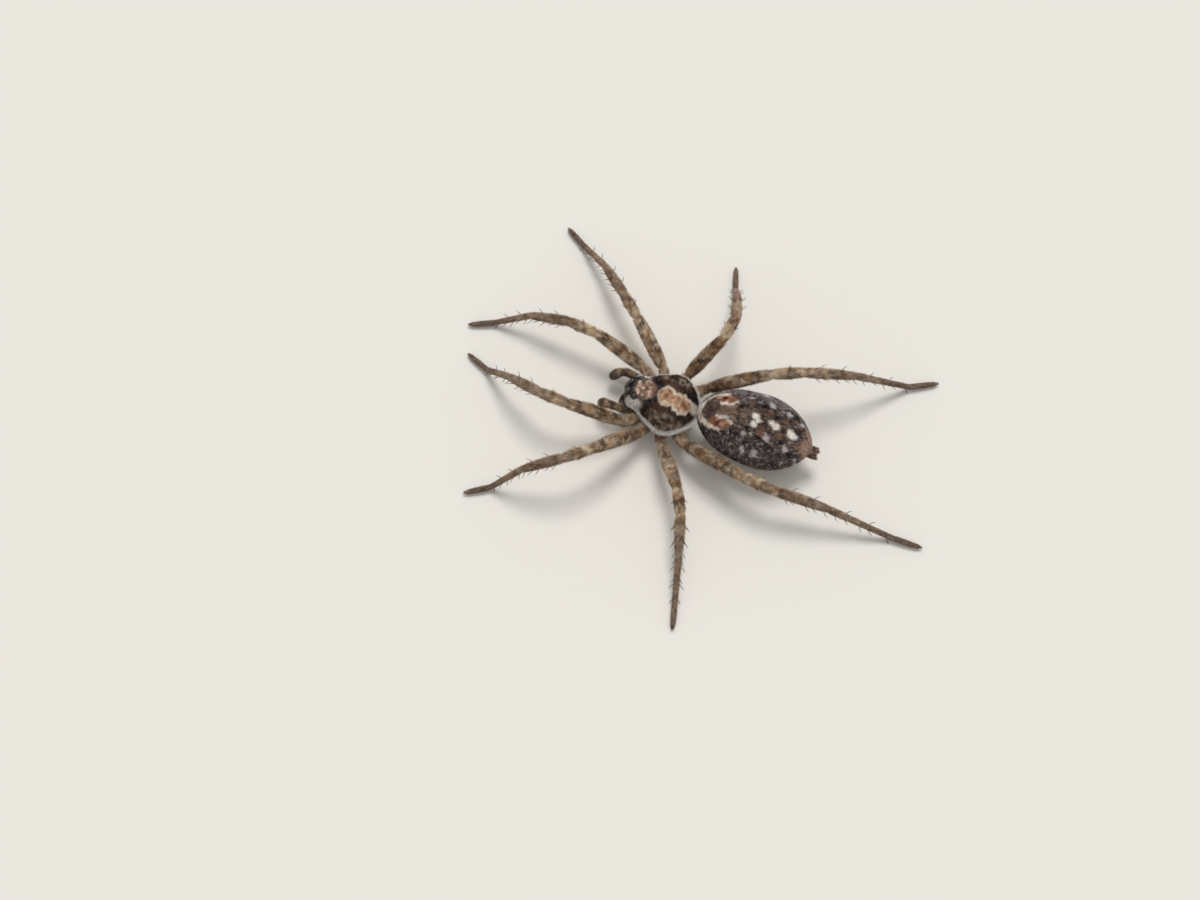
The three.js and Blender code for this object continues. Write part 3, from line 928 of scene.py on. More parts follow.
@dataclass(frozen=True)
class Card(Finish):
    """Matt uncoated card: one pale colour, with a faint relief of fibres."""

    colour: str
    fibre_mm: float
    depth_mm: float

    def inputs(self, tree: NodeTree, coordinates: NodeSocket) -> dict:
        """The plain colour, a low shine and the fibres.

        Args:
            tree: The material's nodes.
            coordinates: Where the patterns are read.

        Returns:
            A value or a socket for each input.
        """
        scale = 1 / (self.fibre_mm * MM)
        fibre = add_node(tree, "ShaderNodeTexNoise", {"Vector": coordinates, "Scale": scale, "Detail": 3.0})
        relief = {"Height": fibre.outputs["Fac"], "Distance": self.depth_mm * MM, "Strength": 0.3}
        bump = add_node(tree, "ShaderNodeBump", relief)
        return {
            "Base Color": (*linear(self.colour), 1.0),
            "Specular IOR Level": 0.2,
            "Normal": bump.outputs["Normal"],
        }


# Soft, leathery cuticle under the hair of the legs and the abdomen: dull, finely grained and wrinkled.
SKIN_CUTICLE = Cuticle(
    "Soft_spider_cuticle", 0.62, grain=(0.05, 0.006), wrinkle=(0.3, 0.03), mottle=0.28, mottle_mm=0.16
)
# The hard shield of the head and trunk: smoother and a little waxy, with a fine leather grain.
SHIELD_CUTICLE = Cuticle(
    "Hard_carapace_cuticle",
    0.48,
    grain=(0.045, 0.005),
    wrinkle=(0.25, 0.02),
    mottle=0.22,
    mottle_mm=0.12,
    coat=0.12,
)
# The jaws are the hardest cuticle of all, so they shine most.
JAW_CUTICLE = Cuticle(
    "Hard_jaw_cuticle", 0.36, grain=(0.06, 0.004), wrinkle=(0.3, 0.012), mottle=0.2, mottle_mm=0.15, coat=0.25
)
# The flat hairs of the coat lie close and scatter light, so they look dull.
COAT_HAIR = HairFinish("Flat_body_hair", 0.6, fleck_mm=0.12)
# Fangs and claws are solid black-brown chitin, polished by use.
CLAW_GLOSS = Gloss("Polished_fang_chitin", 0.22, "#140a07", "#3a1a10", cloud_mm=0.2, coat=0.4)
# Spines are slimmer and let a little brown through.
SPINE_GLOSS = Gloss("Slim_spine_chitin", 0.35, "#1d1512", "#3b2c22", cloud_mm=0.1, coat=0.1)
# The lens of an eye is clear chitin over a black-brown cup, so it looks wet.
EYE_GLOSS = Gloss("Clear_eye_lens", 0.06, "#050404", "#15100d", cloud_mm=0.15, coat=1.0)
# The floor is pale matt card, whose fibres barely show.
FLOOR_CARD = Card("Matt_card", 0.9, "#e9e5dd", fibre_mm=0.6, depth_mm=0.01)


# ---- The spider's forms ----

# They have the sizes of the CAD solids, but the abdomen's front, the shins and the feet are slimmer.
CARAPACE_FRONT = -4.8
CARAPACE_LENGTH = 4.75
CARAPACE_MARGIN = 1.86
CARAPACE_HALF_WIDTH = 2.0
CARAPACE_RISE = 1.12
HEAD_HALF_WIDTH = 1.08

WAIST = (0.0, 0.1, 1.86)
ABDOMEN_FRONT = -0.12
ABDOMEN_LENGTH = 7.35
ABDOMEN_HALF_WIDTH = 2.42
ABDOMEN_HEIGHT = 2.3
ABDOMEN_SAG = 0.42
ABDOMEN_YAW_DEG = 1.3

# How far the skin lies inside the solids' outlines, which leaves room for the coat.
BODY_COAT = 0.05
LEG_COAT = 0.045
PLATE_COAT = 0.03
# The skin and the hairs stop just above the floor, and the hairs just above the top of the solids.
SKIN_FLOOR_GAP = 0.002
FLOOR_GAP = 0.004
COAT_CEILING = CAD_BOX[1][2] / MM + 0.08


def carapace_form(inset: float = 0.0) -> Form:
    """The shield over the head and the leg-bearing part of the body.

    Args:
        inset: How far it lies inside the solid.

    Returns:
        The form.
    """
    widths = smoothly(
        [
            (0, HEAD_HALF_WIDTH),
            (0.2, HEAD_HALF_WIDTH * 1.04),
            (0.36, CARAPACE_HALF_WIDTH * 0.76),
            (0.6, CARAPACE_HALF_WIDTH),
            (0.8, CARAPACE_HALF_WIDTH * 0.98),
            (1, CARAPACE_HALF_WIDTH * 0.85),
        ]
    )
    heights = smoothly([(0, 0.95), (0.15, 1), (0.4, 0.97), (0.6, 1), (1, 0.85)], CARAPACE_RISE)
    return Form(
        front=CARAPACE_FRONT,
        length=CARAPACE_LENGTH,
        middle=lambda share: np.full_like(share, CARAPACE_MARGIN),
        half_width=lambda share: widths(share) * rounded_ends(share, 0.13, 0.42),
        rise=lambda share: heights(share) * rounded_ends(share, 0.14, 0.5),
        drop=lambda share: 0.06 * rounded_ends(share, 0.1, 0.3),
        arch=0.85,
        inset=inset,
    )


def abdomen_form(inset: float = 0.0) -> Form:
    """The abdomen, which is turned a little about the waist and sags to its tail.

    Args:
        inset: How far it lies inside the solid.

    Returns:
        The form.
    """
    widths = smoothly([(0, 0.78), (0.3, 0.9), (0.6, 1), (0.85, 0.97), (1, 0.8)], ABDOMEN_HALF_WIDTH)
    return Form(
        front=ABDOMEN_FRONT,
        length=ABDOMEN_LENGTH,
        middle=lambda share: ABDOMEN_HEIGHT - WAIST[2] - ABDOMEN_SAG * (share - 0.5),
        half_width=lambda share: widths(share) * rounded_ends(share, 0.36, 0.5),
        rise=lambda share: 1.75 * rounded_ends(share, 0.4, 0.62),
        drop=lambda share: 1.8 * rounded_ends(share, 0.45, 0.5),
        arch=0.95,
        origin=WAIST,
        yaw_deg=ABDOMEN_YAW_DEG,
        inset=inset,
    )


def spinneret_root() -> Array:
    """Where the spinnerets grow, in the abdomen's own frame: a little ahead of its tip and below it.

    Returns:
        The place.
    """
    form = abdomen_form()
    tip = form.to_local(form.at(np.array([1.0]), np.array([0.0])))[0]
    return tip + np.array([0, -0.22, -0.42])


def sternum_form(inset: float = 0.0) -> Form:
    """The breastplate between the leg bases.

    Args:
        inset: How far it lies inside the solid.

    Returns:
        The form.
    """
    widths = smoothly([(0, 0.86), (0.35, 1), (0.65, 1), (1, 0.84)], 0.98)
    return Form(
        front=-3.46,
        length=2.6,
        middle=lambda share: np.full_like(share, 1.35),
        half_width=lambda share: widths(share) * rounded_ends(share, 0.12, 0.25),
        rise=lambda share: 0.42 * rounded_ends(share, 0.12, 0.15),
        drop=lambda share: 0.46 * rounded_ends(share, 0.15, 0.4),
        arch=0.7,
        inset=inset,
    )


def flank_form() -> Form:
    """The soft body under the carapace, which the hips and the jaws grow from.

    Returns:
        The form.
    """
    shield = carapace_form()
    return Form(
        front=CARAPACE_FRONT + 0.35,
        length=CARAPACE_LENGTH - 0.75,
        middle=lambda share: np.full_like(share, 1.62),
        half_width=lambda share: 0.84 * shield.half_width(0.08 + 0.8 * share) * rounded_ends(share, 0.1, 0.2),
        rise=lambda share: 0.24 * rounded_ends(share, 0.1, 0.2),
        drop=lambda share: 0.3 * rounded_ends(share, 0.1, 0.2),
        arch=0.7,
    )


class Article(Enum):
    """The seven articles of a leg, from the body outwards."""

    COXA = 0
    TROCHANTER = 1
    FEMUR = 2
    PATELLA = 3
    TIBIA = 4
    METATARSUS = 5
    TARSUS = 6


# The outline of each article, as shares of its length with half thicknesses in millimetres.
ARTICLE_OUTLINES = [
    [(0, 0), (0.05, 0.26), (0.25, 0.35), (0.7, 0.41), (0.92, 0.37)],
    [(0, 0.31), (0.5, 0.35), (0.85, 0.31)],
    [(0, 0.27), (0.07, 0.35), (0.28, 0.44), (0.6, 0.43), (0.88, 0.36), (0.96, 0.33)],
    [(0, 0.28), (0.1, 0.33), (0.5, 0.37), (0.88, 0.33)],
    [(0, 0.28), (0.1, 0.32), (0.4, 0.345), (0.9, 0.3)],
    [(0, 0.255), (0.07, 0.28), (0.4, 0.27), (0.95, 0.255)],
    [(0, 0.25), (0.08, 0.26), (0.6, 0.26), (0.86, 0.255), (0.96, 0.18), (1, 0)],
]
# How far each article bows upwards in the middle.
ARTICLE_BOWS = [0, 0, 0.12, 0.02, 0.04, 0, 0]
# How closely the centres of a leg's line follow each other, and the fewest on an article.
LEG_STEP = 0.07
FEWEST_STEPS = 4
# An article's outline runs on to a place just over its end, where the next one's begins.
JUST_OVER = 1.0001
# How much slimmer than their solids the legs are from the shin outwards, and at the toe besides.
SHIN_SLIMMING = 0.035
TOE_SLIMMING = 0.03
THINNEST = 0.02
# How long the rounded ends of a leg are.
HIP_END = 0.2
TOE_END = 0.16
# The solids are eight-sided, so a round skin lies inside their flat sides.
FACET_SHARE = math.cos(math.pi / 8)
# The heights of every leg's base and of its foot's middle line.
HIP_HEIGHT = 1.36
FOOT_HEIGHT = 0.195


@dataclass(frozen=True)
class Pair:
    """One of the four pairs of legs: where the hip leaves the breastplate, its heading, and the lengths."""

    out: float
    y: float
    hip_turn: float
    lengths: tuple[float, ...]


PAIRS = {
    1: Pair(0.95, -3.3, 50, (1.1, 0.4, 3.8, 1.9, 2.8, 2.7, 1.7)),
    2: Pair(1.05, -2.65, 72, (1.1, 0.4, 3.8, 1.9, 2.9, 2.8, 1.7)),
    3: Pair(1.05, -1.92, 100, (1.1, 0.4, 3.4, 1.7, 2.5, 2.9, 1.7)),
    4: Pair(0.95, -1.2, 130, (1.2, 0.4, 4.4, 2.0, 3.6, 4.5, 1.9)),
}


@dataclass(frozen=True)
class Leg:
    """One leg in its stance.

    Turn is the thigh's heading in degrees from straight ahead, bend is how far the shin turns from it,
    hook is how far the upper foot turns on, and arch is how steeply the thigh climbs before the leg
    settles on its foot.
    """

    side: Side
    pair: int
    turn: float
    bend: float
    hook: float
    arch: float

    @property
    def name(self) -> str:
        """The end of the leg's CAD node names."""
        return f"{self.side.word}_{self.pair}"

    @property
    def lengths(self) -> Array:
        """The lengths of the seven articles."""
        return np.array(PAIRS[self.pair].lengths)

    @property
    def ends(self) -> Array:
        """The shares of the leg's length at which its articles begin and end."""
        return running_total(self.lengths) / self.lengths.sum()

    def joints(self) -> Array:
        """The eight joint centres from the base to the foot's tip.

        The arched articles climb by shares of the arch and then tip together by the one angle that brings
        the foot's tip to its height, so each joint is the last one plus a length along its heading.

        Returns:
            Eight places, the base first.
        """
        pair = PAIRS[self.pair]
        hip, turn, shin = pair.hip_turn, self.turn, self.turn + self.bend
        ring, knee, toe = (hip + turn) / 2, turn + self.bend / 2, shin + 1.5 * self.hook
        headings = np.radians([hip, ring, turn, knee, shin, shin + self.hook, toe])
        climbs = np.radians([0, 12, self.arch, self.arch * 0.25, -self.arch * 0.45, -self.arch, -3])
        arched = np.array([False, False, True, True, True, True, False])
        rise = FOOT_HEIGHT - HIP_HEIGHT - (self.lengths * np.sin(climbs))[~arched].sum()
        lift = (self.lengths * np.sin(climbs))[arched].sum()
        reach = (self.lengths * np.cos(climbs))[arched].sum()
        settle = math.asin(rise / math.hypot(reach, lift)) - math.atan2(lift, reach)
        climbs = climbs + np.where(arched, settle, 0)
        level = np.cos(climbs)
        directions = [self.side.value * np.sin(headings) * level, -np.cos(headings) * level, np.sin(climbs)]
        steps = self.lengths[:, None] * np.stack(directions, axis=-1)
        base = np.array([pair.out * self.side.value, pair.y, HIP_HEIGHT])
        return np.concatenate([[base], base + np.cumsum(steps, axis=0)])

    def limb(self, inset: float) -> Limb:
        """The leg as one limb.

        Every article is a straight line between its joints, bowed upwards by 4 b s (1 - s) and with its
        own outline. The corners at the joints are then softened by a running mean over five steps. The
        shins and feet are slimmer than their solids, which have the least thickness that a solid may.

        Args:
            inset: How far it lies inside the solid.

        Returns:
            The limb.
        """
        joints = self.joints()
        centres, radii = [], []
        for index, outline in enumerate(ARTICLE_OUTLINES):
            steps = max(int(self.lengths[index] / LEG_STEP), FEWEST_STEPS)
            share = np.arange(steps) / steps
            line = joints[index] + share[:, None] * (joints[index + 1] - joints[index])
            centres.append(line + (ARTICLE_BOWS[index] * 4 * share * (1 - share))[:, None] * UP)
            after = ARTICLE_OUTLINES[index + 1][0][1] if index + 1 < len(ARTICLE_OUTLINES) else 0
            places, sizes = np.array([*outline, (JUST_OVER, after)]).T
            radii.append(np.interp(share, places, sizes))
        line = np.pad(np.vstack([*centres, joints[-1:]]), ((2, 2), (0, 0)), "reflect", reflect_type="odd")
        soft_line = np.stack([np.convolve(column, np.ones(5) / 5, "valid") for column in line.T], axis=-1)
        radius = np.pad(np.append(np.concatenate(radii), 0), 1, "edge")
        soft_radius = np.convolve(radius, np.ones(3) / 3, "valid")
        place = running_total(np.linalg.norm(np.diff(soft_line, axis=0), axis=1))
        share = place / place[-1]
        slimmer = SHIN_SLIMMING * ramp(share, 0.5, 0.75) + TOE_SLIMMING * ramp(share, 0.93, 1.0)
        thin = np.maximum(soft_radius * FACET_SHARE - inset - slimmer, THINNEST)
        return Limb(soft_line, thin * rounded_ends(share, HIP_END / place[-1], TOE_END / place[-1]))

    def article_at(self, share: Array) -> tuple[Array, Array]:
        """The number of the article at shares of the leg's length, and the share of that article.

        Args:
            share: Shares of the leg's length.

        Returns:
            The numbers and the shares.
        """
        ends = self.ends
        index = np.clip(np.searchsorted(ends, share, side="right") - 1, 0, len(ARTICLE_OUTLINES) - 1)
        return index, (share - ends[index]) / (ends[index + 1] - ends[index])


LEGS = [
    Leg(Side.LEFT, 1, 13, -31, -3, 33),
    Leg(Side.LEFT, 2, 55, -28, 4, 37),
    Leg(Side.LEFT, 3, 127, -19, -2, 15),
    Leg(Side.LEFT, 4, 164, 21, -2, 16),
    Leg(Side.RIGHT, 1, 13, -15, -15, 21),
    Leg(Side.RIGHT, 2, 43, 0, -7, 16),
    Leg(Side.RIGHT, 3, 124, -49, -2, 46),
    Leg(Side.RIGHT, 4, 160, -5, -3, 31),
]

# The lines of the palps, the jaws and the fangs as (out, y, z), and their radii at shares of the length.
PALP_LINE = [
    (0.86, -3.82, 1.28), (1.12, -4.4, 1.5), (1.24, -5.15, 1.66), (1.16, -5.7, 1.45), (0.96, -6.2, 0.85),
]
PALP_RADII = [(0, 0.22), (0.25, 0.25), (0.5, 0.24), (0.68, 0.25), (0.88, 0.28), (1, 0.2)]
JAW_BEND = [(0.49, -4.38, 2.1), (0.49, -4.72, 1.2), (0.52, -4.56, 0.45)]
JAW_RADII = [(0, 0.38), (0.5, 0.46), (0.8, 0.4), (1, 0.27)]
FANG_LINE = [(0.62, -4.56, 0.46), (0.48, -4.7, 0.36), (0.1, -4.64, 0.4)]
FANG_RADII = [(0, 0.14), (0.5, 0.11), (1, 0.04)]
# The three pairs of spinnerets: how far each stands out and up, its radius and its length.
SPINNERET_PAIRS = [(0.15, -0.12, 0.18, 0.76), (0.08, 0.02, 0.11, 0.5), (0.14, 0.16, 0.15, 0.66)]


def spinneret_limbs() -> list[Limb]:
    """The six silk-spinning cones under the abdomen's tip, which taper by half, and the hub they stand on.

    Returns:
        The hub, and then the cones.
    """
    form, root = abdomen_form(), spinneret_root()
    hub = form.to_body(root + np.array([[0, -0.36, 0], [0, 0, 0], [0, 0.34, 0]]))
    limbs = [rod(hub, [(0, 0.3), (0.5, 0.34), (1, 0.26)])]
    for out, up, radius, length in SPINNERET_PAIRS:
        for side in Side:
            start = root + np.array([out * side.value, 0, up])
            end = start + np.array([0.6 * out * side.value, length, 0.6 * up])
            line = form.to_body(np.array([start, (start + end) / 2, end]))
            limbs.append(rod(line, [(0, radius), (0.5, 0.85 * radius), (1, 0.5 * radius)]))
    return limbs


def palp(side: Side, inset: float) -> Limb:
    """A palp, the short feeler beside the jaws."""
    return rod(mirrored(PALP_LINE, side), PALP_RADII, inset)


def jaw(side: Side, inset: float) -> Limb:
    """A jaw: a round-ended limb along a line bent by its middle place, as a quadratic Bezier curve is.

    Args:
        side: The spider's side.
        inset: How far it lies inside the solid.

    Returns:
        The limb.
    """
    start, pull, end = (np.array(place) for place in mirrored(JAW_BEND, side))
    share = np.linspace(0, 1, 9)[:, None]
    line = (1 - share) ** 2 * start + 2 * share * (1 - share) * pull + share**2 * end
    return rod(line, JAW_RADII, inset, upright=(0.0, -1.0, 0.0))


# ---- Markings ----

# The round spots on the abdomen's back, by colour: black, rusty, lavender and cream. Each has its place
# to the left of the middle line and behind the waist, and its radius.
ABDOMEN_SPOTS = {
    "#110d0d": [
        (-0.36, 2.45, 0.24), (0.45, 2.5, 0.2), (-0.95, 3.75, 0.27), (0.22, 4.08, 0.2), (1.02, 4.05, 0.27),
        (-0.6, 4.75, 0.2), (0.12, 5.3, 0.2), (0.88, 5.38, 0.24), (-1.22, 5.85, 0.27), (1.2, 6.15, 0.28),
    ],
    "#85624e": [
        (0.78, 4.1, 0.3), (0.47, 5.3, 0.3), (-0.7, 4.25, 0.24), (-0.5, 5.3, 0.26), (0.55, 6.35, 0.24),
    ],
    "#cbc1c4": [
        (-1.3, 2.85, 0.2), (1.2, 3.05, 0.18), (-1.25, 4.2, 0.27), (1.0, 4.5, 0.27), (-1.15, 5.35, 0.27),
        (1.1, 5.7, 0.3), (1.25, 6.5, 0.13), (-0.9, 6.3, 0.18), (1.95, 3.3, 0.22), (2.0, 4.05, 0.22),
        (-1.95, 3.6, 0.22),
    ],
    "#fff4ea": [
        (-0.08, 3.42, 0.32), (0.14, 3.66, 0.2), (0.48, 3.5, 0.24), (-0.05, 4.5, 0.27), (0.02, 4.8, 0.34),
        (0.08, 5.78, 0.34), (0.12, 6.05, 0.28),
    ],
}
# The paired markings of the back mirror each other about a line a little to the left of its middle.
MARKS_AXIS = 0.12


def abdomen_colours(points: Array) -> Array:
    """The abdomen's colours, on its skin and on its coat.

    Dark grey-brown ground with fine pale specks, a painted purplish-grey sheen on both sides, a grey-mauve
    mottle on the right flank alone, and warmer brown along the back; a grey-brown lance mark over the heart,
    darkest and barred in front, between pale lines that spread from the waist; a rusty patch on each side
    of it; then a row of cream spots down the middle, with lavender, rusty and black ones beside them. The
    tail end is pinkish-brown, and the flanks and the underside are mottled tan.

    Args:
        points: Places in the body frame.

    Returns:
        A linear colour for each.
    """
    local = abdomen_form().to_local(points)
    height = local[:, 2]
    place = ragged(local[:, :2], points, 0.22, 11, 0.16)
    flat = np.stack([np.abs(place[:, 0] - MARKS_AXIS), place[:, 1]], axis=-1)
    out, back = flat.T
    paint = Paint.ground(points, "#53433b")
    paint.mottle("#1f1715", 0.88, 0.34, 1, 0.47, 0.67)
    paint.mottle("#83706a", 0.5, 0.2, 2, 0.6, 0.78)
    # Painted sheen: a purplish grey mottled over both flanks.
    paint.mottle("#94878b", 0.5 * ramp(out, 1.2, 2.0), 0.16, 3, 0.5, 0.72)
    paint.mottle("#88797b", 0.6 * ramp(place[:, 0], -0.9, -1.3), 0.3, 13, 0.35, 0.6)
    ridge = ramp(np.abs(place[:, 0]), 1.1, 0.7) * ramp(back, 2.4, 2.9)
    paint.mottle("#7e614d", 0.6 * ridge, 0.26, 15, 0.48, 0.64)
    paint.mottle("#d0c4c2", 0.9, 0.085, 6, 0.73, 0.82)
    paint.mottle("#0d0a09", 0.8, 0.1, 7, 0.66, 0.8)

    lance = ramp(out, 0.56, 0.4) * ramp(back, 0.1, 0.5) * ramp(back, 3.1, 2.5)
    lance_front = lance * ramp(back, 1.4, 0.9)
    paint.lay("#ac907b", 0.9 * lance)
    paint.lay("#6f565a", 0.7 * lance_front)
    paint.mottle("#2c2122", 0.6 * lance_front, 0.2, 16, 0.48, 0.6)
    paint.mottle("#553f33", 0.65 * lance, 0.2, 4, 0.45, 0.7)
    edge = ramp(np.abs(out - 0.2), 0.12, 0.02) * ramp(back, 1.9, 2.2) * ramp(back, 3.0, 2.6)
    paint.lay("#2a211f", 0.7 * edge)
    paint.lay("#161213", 0.9 * ramp(np.hypot((out - 1.3) / 0.4, (back - 0.4) / 0.45), 1.1, 0.6))

    patch = np.hypot((out - 0.84) / 0.34, (back - 1.42) / 0.78)
    paint.lay("#986a50", ramp(patch, 1.08, 0.78))
    paint.mottle("#d9ab90", 0.9 * ramp(patch, 0.9, 0.5), 0.2, 5, 0.46, 0.62)
    paint.lay("#43271a", ramp(np.hypot(out - 0.86, back - 1.34), 0.18, 0.07))
    rim = distance_to_line(flat, [(0.45, 1.2), (0.5, 1.8), (0.68, 2.12)])
    paint.lay("#fff1e4", ramp(rim, 0.15, 0.07) * paint.cloud(0.2, 9, 0.3, 0.55, least=0.6))
    spread = distance_to_line(flat, [(0.05, 0.0), (0.58, 0.27), (1.06, 0.88), (1.2, 1.5)])
    paint.lay("#f8e8da", ramp(spread, 0.13, 0.06) * paint.cloud(0.2, 10, 0.3, 0.55, least=0.6))

    for code, spots in ABDOMEN_SPOTS.items():
        paint.spots(code, place, spots)
    paint.mottle("#bb9c86", 0.75 * ramp(back, 6.3, 6.8) * ramp(out, 1.1, 0.6), 0.2, 14, 0.3, 0.55)
    waist = np.hypot(local[:, 0] / 0.42, (local[:, 1] + 0.05) / 0.32)
    paint.lay("#e9e2d8", ramp(waist, 1.1, 0.7) * ramp(height, -0.3, 0.1))

    low = ramp(height, 0.1, -0.7)
    paint.lay("#8f7c68", 0.8 * low)
    paint.mottle("#43382f", 0.7 * low, 0.25, 8, 0.5, 0.7)
    paint.lay("#a3937d", 0.8 * ramp(height, -0.8, -1.3))
    return paint.values


# The half width of the scalloped patch along the carapace's middle, at places along Y.
MIDDLE_PATCH = [
    (-2.74, 0.1), (-2.55, 0.56), (-2.3, 0.74), (-2.05, 0.74), (-1.75, 0.56),
    (-1.42, 0.7), (-1.15, 0.8), (-0.8, 0.64), (-0.35, 0.28), (-0.1, 0.2),
]
# The pale dots on the head: each one's place out and along Y, and its radius.
HEAD_DOTS = [(0.27, -4.02, 0.13), (0.46, -3.66, 0.12), (0.18, -3.36, 0.12), (0.02, -3.76, 0.11)]


def carapace_colours(points: Array) -> Array:
    """The carapace's colours, on its shell and on its coat.

    Black-brown ground; a reddish-brown patch with pale flecks on the head; a scalloped tan patch along the
    middle with a pale rim, and the dark streak of the pit in it; mottled tan towards the sides; whitish
    cheeks; and a pale line of hairs round the whole margin.

    Args:
        points: Places in the body frame.

    Returns:
        A linear colour for each.
    """
    smooth_flat = leftwards(points)[:, :2]
    flat = ragged(smooth_flat, points, 0.2, 21, 0.1)
    out, y = flat.T
    height = points[:, 2] - CARAPACE_MARGIN
    paint = Paint.ground(points, "#412d22")
    paint.mottle("#1b1310", 1.0, 0.35, 23, 0.45, 0.7)
    paint.mottle("#77583d", 0.7, 0.28, 24, 0.58, 0.78)

    side_zone = ramp(out, 1.0, 1.3) * ramp(y, -3.2, -2.6) * ramp(y, -0.2, -0.7)
    paint.lay("#8a7460", 0.85 * side_zone)
    paint.mottle("#33261b", 0.85 * side_zone, 0.22, 25, 0.5, 0.62)
    paint.mottle("#c6b29c", 0.75 * side_zone, 0.17, 30, 0.58, 0.72)
    shaded = 0.7 * ramp(np.abs(out - 0.86), 0.3, 0.14) * ramp(y, -3.3, -2.9) * ramp(y, -0.9, -1.3)
    paint.lay("#6d4a38", shaded)

    head = np.hypot(out / 0.68, (y + 3.62) / 0.76)
    paint.lay("#a87d66", ramp(head, 1.1, 0.8))
    paint.mottle("#f0d8c4", 0.95 * ramp(head, 1.0, 0.75), 0.17, 26, 0.55, 0.68)
    paint.mottle("#4f3a28", 0.8 * ramp(head, 0.95, 0.7), 0.22, 27, 0.56, 0.7)
    rim = distance_to_line(flat, [(0.5, -4.0), (0.62, -3.55), (0.45, -3.1)])
    paint.mottle("#ecd9c8", 0.7 * ramp(rim, 0.14, 0.05), 0.25, 32, 0.45, 0.65)
    paint.spots("#f6e2d0", flat, HEAD_DOTS)

    swing = 0.14 * ramp(y, -2.0, -1.3) * ramp(y, -0.4, -0.8)
    aside = np.abs(points[:, 0] + (flat - smooth_flat)[:, 0] - swing)
    scallops = 0.09 * (noise(points, 0.16, 33) - 0.5) + 0.05 * np.sin(y * 16)
    within = smoothly(MIDDLE_PATCH)(y) - aside + scallops
    middle = ramp(within, -0.03, 0.05) * ramp(y, -2.78, -2.68)
    paint.lay("#dab08a", middle)
    paint.mottle("#946443", 0.8 * middle * ramp(within, 0.14, 0.26), 0.2, 34, 0.48, 0.62)
    paint.mottle("#f6dfc6", 0.7 * middle, 0.16, 37, 0.58, 0.7)
    paint.lay("#fff0dc", middle * ramp(within, 0.32, 0.16) * paint.cloud(0.2, 35, 0.3, 0.6, least=0.6))
    paint.lay("#5b3923", 0.9 * ramp(np.hypot(out / 0.07, (y + 1.3) / 0.34), 1.1, 0.7))

    band = ramp(np.abs(out - 1.0), 0.3, 0.16) * ramp(y, -2.4, -1.4) * ramp(y, -0.1, -0.5)
    paint.lay("#170f0b", 0.6 * band * (1 - middle) * paint.cloud(0.3, 38, 0.35, 0.55, least=0.4))
    behind = np.hypot((out - 0.72) / 0.34, (y + 2.95) / 0.36)
    paint.lay("#130d0a", 0.9 * ramp(behind, 1.1, 0.7) * (1 - middle))
    paint.lay("#f7f0e7", ramp(height, 0.28, 0.14) * paint.cloud(0.25, 28, 0.3, 0.6, least=0.65))
    paint.lay("#efe6dc", 0.9 * ramp(y, -0.55, -0.25) * ramp(out, 0.5, 0.3))
    front = ramp(points[:, 1], -4.05, -4.45)
    paint.lay("#7b6f6e", 0.85 * front * ramp(height, 0.15, 0.3))
    cheek = ramp(points[:, 1], -3.3, -3.75) * ramp(out, 0.62, 0.8) * ramp(height, 1.0, 0.8)
    paint.mottle("#f8f1eb", 0.95 * cheek, 0.14, 36, 0.12, 0.32)
    paint.mottle("#cdc3ba", 0.6 * front, 0.12, 29, 0.55, 0.75)
    paint.lay("#1a1413", front * ramp(height, 0.6, 0.8) * ramp(out, 0.75, 0.6))
    for eye in EYES:
        paint.lay("#120e0d", 0.9 * ramp(eye.radii_away(leftwards(points)), 1.55, 1.2))
    return paint.values


# Where the dark rings of each article lie, as shares of its length, with their widths and strengths.
DARK_RINGS = {
    Article.FEMUR: [(0.16, 0.1, 0.35), (0.45, 0.1, 0.42), (0.78, 0.11, 0.52)],
    Article.PATELLA: [(0.6, 0.22, 0.5)],
    Article.TIBIA: [(0.18, 0.12, 0.5), (0.62, 0.14, 0.5)],
    Article.METATARSUS: [(0.1, 0.09, 0.4), (0.5, 0.11, 0.4), (0.92, 0.09, 0.45)],
}


def leg_colours(leg: Leg, share: Array, points: Array) -> Array:
    """A leg's colours, on its skin and on its coat.

    Pale tan thighs with brown blotches that gather into dark rings, pale knees, and from the shin outwards
    a dull grey-brown, in which only the two rear pairs keep clear rings. The base of each leg is darkened
    by a painted shade, where the carapace shades it.

    Args:
        leg: The leg.
        share: How far along the leg each point lies, from 0 to 1.
        points: Places in the body frame.

    Returns:
        A linear colour for each.
    """
    index, part = leg.article_at(share)
    blotch = noise(points, 0.34, 41)
    ringed = 1.0 if leg.pair > 2 else 0.55
    paint = Paint.ground(points, "#d3b592")
    paint.mottle("#a9825f", 1.0, 0.5, 43, 0.44, 0.64)
    paint.mottle("#efdcc0", 0.8, 0.36, 44, 0.56, 0.7)
    outer = ramp(share, 0.38, 0.54 if leg.pair < 3 else 0.66)
    paint.lay("#92775f", 0.8 * outer)
    paint.mottle("#b5a69b", 0.5 * outer, 0.28, 45, 0.5, 0.7)
    paint.lay("#694d38", 0.68 * ramp(blotch, 0.57, 0.7) * (1 - 0.4 * outer))
    for article, rings in DARK_RINGS.items():
        here = (index == article.value) * (1.0 if article is Article.FEMUR else ringed)
        for place, width, strength in rings:
            ring = ramp(np.abs(part + 0.24 * (blotch - 0.5) - place), width, width * 0.3)
            paint.lay("#57402f", strength * ring * here)
    paint.lay("#dccdb2", 0.6 * (index == Article.PATELLA.value) * ramp(part, 0.35, 0.1) * ringed)
    paint.mottle("#e6dac4", 0.6 * (1 - 0.6 * outer), 0.13, 42, 0.66, 0.8)
    paint.lay("#735e4f", 0.8 * ramp(share, 0.74, 0.88))
    # Painted shade: the base of every leg is darkened, where the carapace shades it.
    paint.lay("#6a4e3a", 0.3 * ramp(share, 0.2, 0.06))
    paint.mottle("#382b22", 0.5, 0.13, 42, 0.4, 0.25)
    return paint.values


